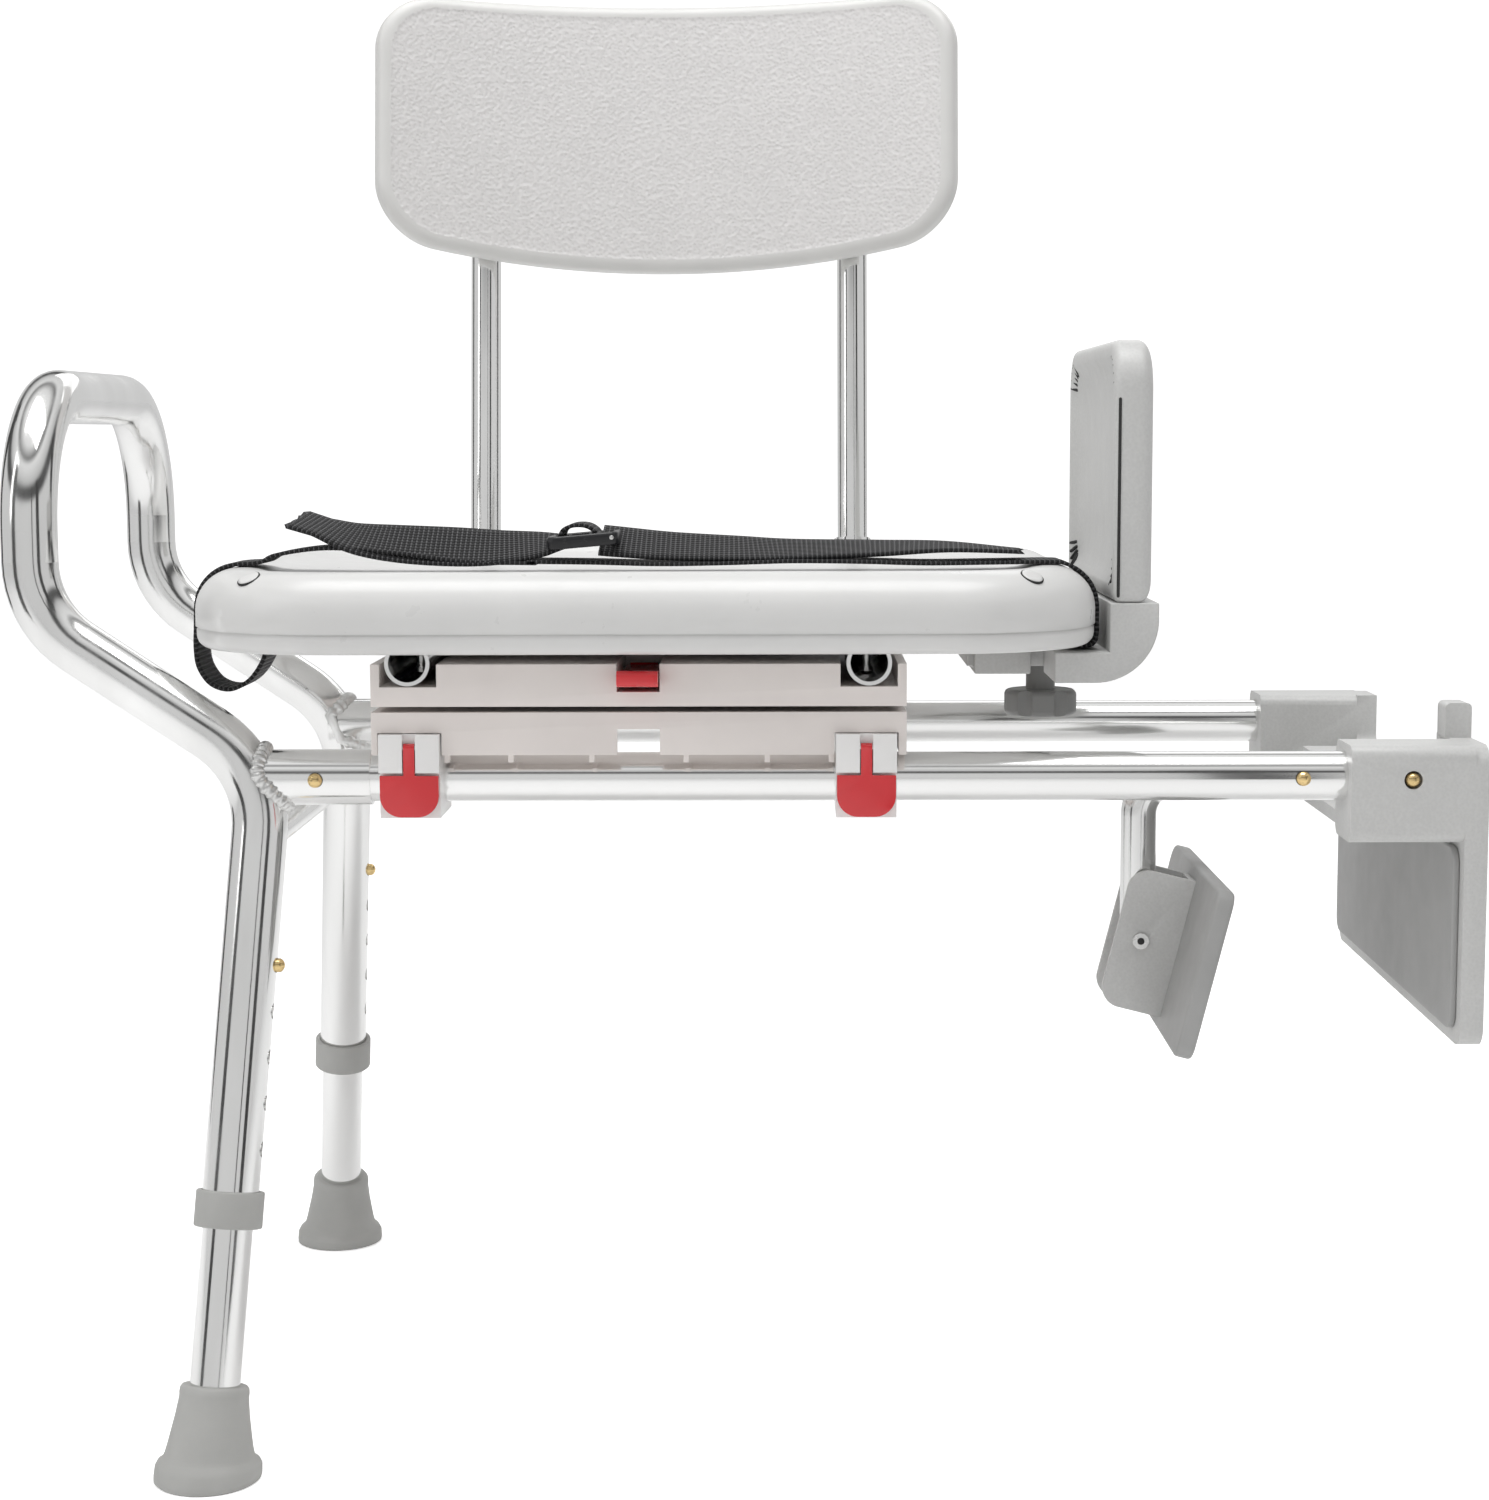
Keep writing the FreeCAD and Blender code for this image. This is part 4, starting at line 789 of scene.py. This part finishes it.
def makeBelt():
    lapLow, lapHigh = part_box("belt_lap")
    lapY = (lapLow.y + lapHigh.y) / 2
    top, under, edge = lapHigh.z - strap["inset"], lapLow.z + strap["inset"], lapHigh.x - strap["inset"]
    crown = seatShape["crown"] + strap["bulge"]  # the strap's own radius over the seat's rounded edge
    turn = edge - crown
    # right half: from under the seat, round its edge, and across to the middle
    right = [(edge - 0.018, under), (edge - 0.006, under), (edge - 0.0015, under + 0.002),
             (edge, under + 0.007),
             (edge, under + 0.016)]
    right += arcPoints((turn, top - crown), crown, 0, 90)
    right += [(x, top + 0.0008 * math.sin(x * 40)) for x in np.linspace(edge - 0.06, lapLow.x + 0.005, 8)]
    line = curveThrough([(x, lapY, z) for x, z in right])
    ribbon("lapStrapRight", line, flatAcross, bodyOf["belt_lap"], ["belt_lap"])
    # left half: rising to the band above it, over the left edge and hanging in a slack loop
    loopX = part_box("belt_loop")[0].x + strap["inset"]
    left = [(lapLow.x + 0.01, top), (lapLow.x - 0.03, top + 0.001), (lapLow.x - 0.07, top + 0.006),
            (lapLow.x - 0.11, top + 0.009), (lapLow.x - 0.14, top + 0.0055)]
    left += [(loopX + crown + 0.012, top + 0.001)]
    left += [(loopX + crown - (x - turn), z) for x, z in arcPoints((turn, top - crown), crown, 90, 0)]
    left += [(loopX - 0.0004, under + 0.012), (loopX - 0.0008, under - 0.001), (loopX + 0.001, under - 0.012),
             (loopX + 0.008, under - 0.0215), (loopX + 0.019, under - 0.0245), (loopX + 0.030, under - 0.019),
             (loopX + 0.0375, under - 0.009), (loopX + 0.0405, under - 0.0005)]
    line = curveThrough([(x, lapY, z) for x, z in left])
    ribbon("lapStrapLeft", line, flatAcross, bodyOf["belt_lap"], ["belt_loop"])
    # loose ends of the buckle's strap, standing half on edge as stiff webbing does
    buckleLow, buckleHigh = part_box("belt_buckle")
    endLow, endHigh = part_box("belt_end_left")
    x, tip, y = buckleLow.x, endLow.x, (endLow.y + endHigh.y) / 2
    looseEnd("beltEndLeft", [(x + 0.012, y, 0.5165), (x - 0.004, y, 0.5150), (x - 0.03, y - 0.002, 0.5135),
                             (x - 0.055, y - 0.003, 0.5140), (tip + 0.065, y - 0.004, 0.5158),
                             (tip + 0.04, y - 0.004, 0.5190), (tip + 0.02, y - 0.002, 0.5250),
                             (tip + 0.0035, y, 0.5300)],
             lambda share: 6 + 22 * np.sin(np.pi * np.clip(share * 1.15, 0, 1)) + 8 * share,
             "belt_end_left", 0.0015)
    endLow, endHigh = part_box("belt_end_right")
    x, tip, y = buckleHigh.x, endHigh.x, (endLow.y + endHigh.y) / 2
    looseEnd("beltEndRight", [(x - 0.012, y, 0.5175), (x + 0.004, y, 0.5160), (x + 0.03, y + 0.001, 0.5138),
                              (x + 0.07, y + 0.002, 0.5122), (0.03, y + 0.004, 0.5115),
                              (0.08, y + 0.004, 0.5122), (0.12, y + 0.002, 0.5130), (tip - 0.003, y, 0.5105)],
             lambda share: 20 * np.cos(np.pi * share * 0.55) + 3, "belt_end_right", 0.003)


makeBelt()


buckle = {"wall": 0.004, "high": 0.0075, "corner": 0.006, "tilt": 5, "level": 0.0115,
          "bars": ((-0.010, "bucklePlastic", 0.0024), (0.002, "bucklePlastic", 0.0024),
                   (0.0165, "zincPlate", 0.0021)),
          "hump": ((-0.0135, 0.0015), (-0.0115, 0.006), (-0.006, 0.0085), (0.001, 0.0085), (0.006, 0.006),
                   (0.010, 0.001))}


def makeBuckle():
    # a moulded frame: a rounded-rectangle ring with a square hole, tilted a little, and three cross bars
    low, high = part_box("belt_buckle")
    middle = (low + high) / 2
    halfX, halfY = (high.x - low.x) / 2 - 0.0005, (high.y - low.y) / 2 - 0.0005
    wall, tall = buckle["wall"], buckle["high"] / 2
    tilt, level = math.radians(buckle["tilt"]), low.z + buckle["level"]
    body = bodyOf["belt_buckle"]
    section = [(0.0008, -tall), (0.0, -tall + 0.001), (0.0, tall - 0.001), (0.001, tall)]
    section += [(wall - 0.001, tall), (wall, tall - 0.001), (wall, -tall + 0.001), (wall - 0.0008, -tall)]
    rings = []
    for inset, z in section:
        outline = roundedOutline(halfX - inset, halfY - inset, buckle["corner"] - inset * 0.8, 10, 8)
        rings.append(np.column_stack([outline, np.full(len(outline), z)]))
    x, y, z = np.moveaxis(np.array(rings), -1, 0)
    points = np.stack([x * math.cos(tilt) - z * math.sin(tilt) + middle.x, y + middle.y,
                       x * math.sin(tilt) + z + level], -1)
    faces = loopFaces(*x.shape)[:, [0, 3, 2, 1]].tolist()  # turned over, so that the ring faces outwards
    frameRing = addPiece("buckleFrame", points, faces, body, "bucklePlastic", ["belt_buckle"])
    reach = halfY - 0.002
    for number, (far, finish, thick) in enumerate(buckle["bars"], start=1):
        at, height = middle.x + far, level + far * math.sin(tilt) + 0.0005
        bar = capsule(f"buckleBar{number}", (at, middle.y - reach, height), (at, middle.y + reach, height),
                      thick, body, finish)
    # the webbing that doubles over the middle bar
    line = curveThrough([(middle.x + far, middle.y, level + up) for far, up in buckle["hump"]], 6)
    ribbon("buckleHump", line, flatAcross, body)


makeBuckle()
print("belt made")


# ---- the frame's own nodes

carriedOver = {
    "tubeUpright": ("leg_frame", "leg_extension_front", "leg_extension_rear", "clamp_arm", "back_post_left",
                    "back_post_right"),
    "tubeAlongX": ("rail_front", "rail_rear", "rail_sleeve_front", "rail_sleeve_rear", "leg_cross_bar",
                   "clamp_socket", "seat_tube_left", "seat_tube_right"),
    "bracketPlastic": ("tub_hook", "pad_yoke", "arm_guide", "arm_elbow", "arm_panel"),
    "padPlastic": ("clamp_pad", "hook_pad"),
    "backPlastic": ("back_panel",),
    "seatPlastic": ("seat",),
    "footRubber": ("leg_collar_front", "leg_collar_rear", "foot_tip_front", "foot_tip_rear"),
    "creamPlastic": ("carriage_base", "swivel_deck"),
    "whitePlastic": ("glide_front_left", "glide_front_right", "glide_rear_left", "glide_rear_right"),
    "knobPlastic": ("arm_knob", "swivel_ring"),
    "redPlastic": ("lock_lever_left", "lock_lever_right", "swivel_release"),
    "zincPlate": ("pad_rivet", "lever_pin_left", "lever_pin_right", "swivel_bolt", "release_pin",
                  "seat_screws",
                  "back_screws", "arm_stud"),
    "brassPlate": tuple(node for node in bodyOf if "_button_" in node),
    "wovenWebbing": tuple(node for node in bodyOf if node.startswith("belt_") and node != "belt_buckle"),
    "bucklePlastic": ("belt_buckle",),
}


def paint(piece, finish):
    piece.data.materials.clear()
    piece.data.materials.append(paints[finish])


softEdges = {  # bevel width of each moulded node, in metres
    "tub_hook": 0.0035, "hook_pad": 0.0012, "clamp_pad": 0.0022, "pad_yoke": 0.0012, "arm_elbow": 0.0018,
    "carriage_base": 0.0009, "swivel_deck": 0.0009, "glide_front_left": 0.0009, "glide_front_right": 0.0009,
    "glide_rear_left": 0.0009, "glide_rear_right": 0.0009, "lock_lever_left": 0.0009,
    "lock_lever_right": 0.0009,
    "swivel_release": 0.0012, "arm_knob": 0.0012, "arm_guide": 0.001, "leg_collar_front": 0.001,
    "leg_collar_rear": 0.001, "swivel_ring": 0.0005,
}
bevels = {"merged": 1e-6, "flat": 1.0, "sharp": 38, "segments": 3}  # metres, degrees, degrees, cuts


def softened(node, width):
    # a copy of the node with its flat faces merged and its sharp edges rounded
    mesh = frame["nodes"][node].data.copy()
    mesh.name = node + "_soft"
    shape = bmesh.new()
    shape.from_mesh(mesh)
    bmesh.ops.remove_doubles(shape, verts=shape.verts, dist=bevels["merged"])
    flat = math.radians(bevels["flat"])
    bmesh.ops.dissolve_limit(shape, angle_limit=flat, verts=shape.verts, edges=shape.edges)
    for face in shape.faces:
        face.smooth = True
    shape.to_mesh(mesh)
    shape.free()
    piece = bpy.data.objects.new(node + "_soft", mesh)
    scene.collection.objects.link(piece)
    bevel = piece.modifiers.new("roundedEdges", "BEVEL")
    bevel.width, bevel.segments, bevel.limit_method = width, bevels["segments"], "ANGLE"
    bevel.angle_limit, bevel.harden_normals = math.radians(bevels["sharp"]), True
    bevel.use_clamp_overlap = True
    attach(piece, bodyOf[node])
    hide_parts(node)
    return piece


for finish, nodes in carriedOver.items():
    for node in nodes:
        paint(frame["nodes"][node], finish)
        if node in softEdges:
            paint(softened(node, softEdges[node]), finish)
print("frame nodes painted:", sum(len(nodes) for nodes in carriedOver.values()), "of", len(bodyOf))
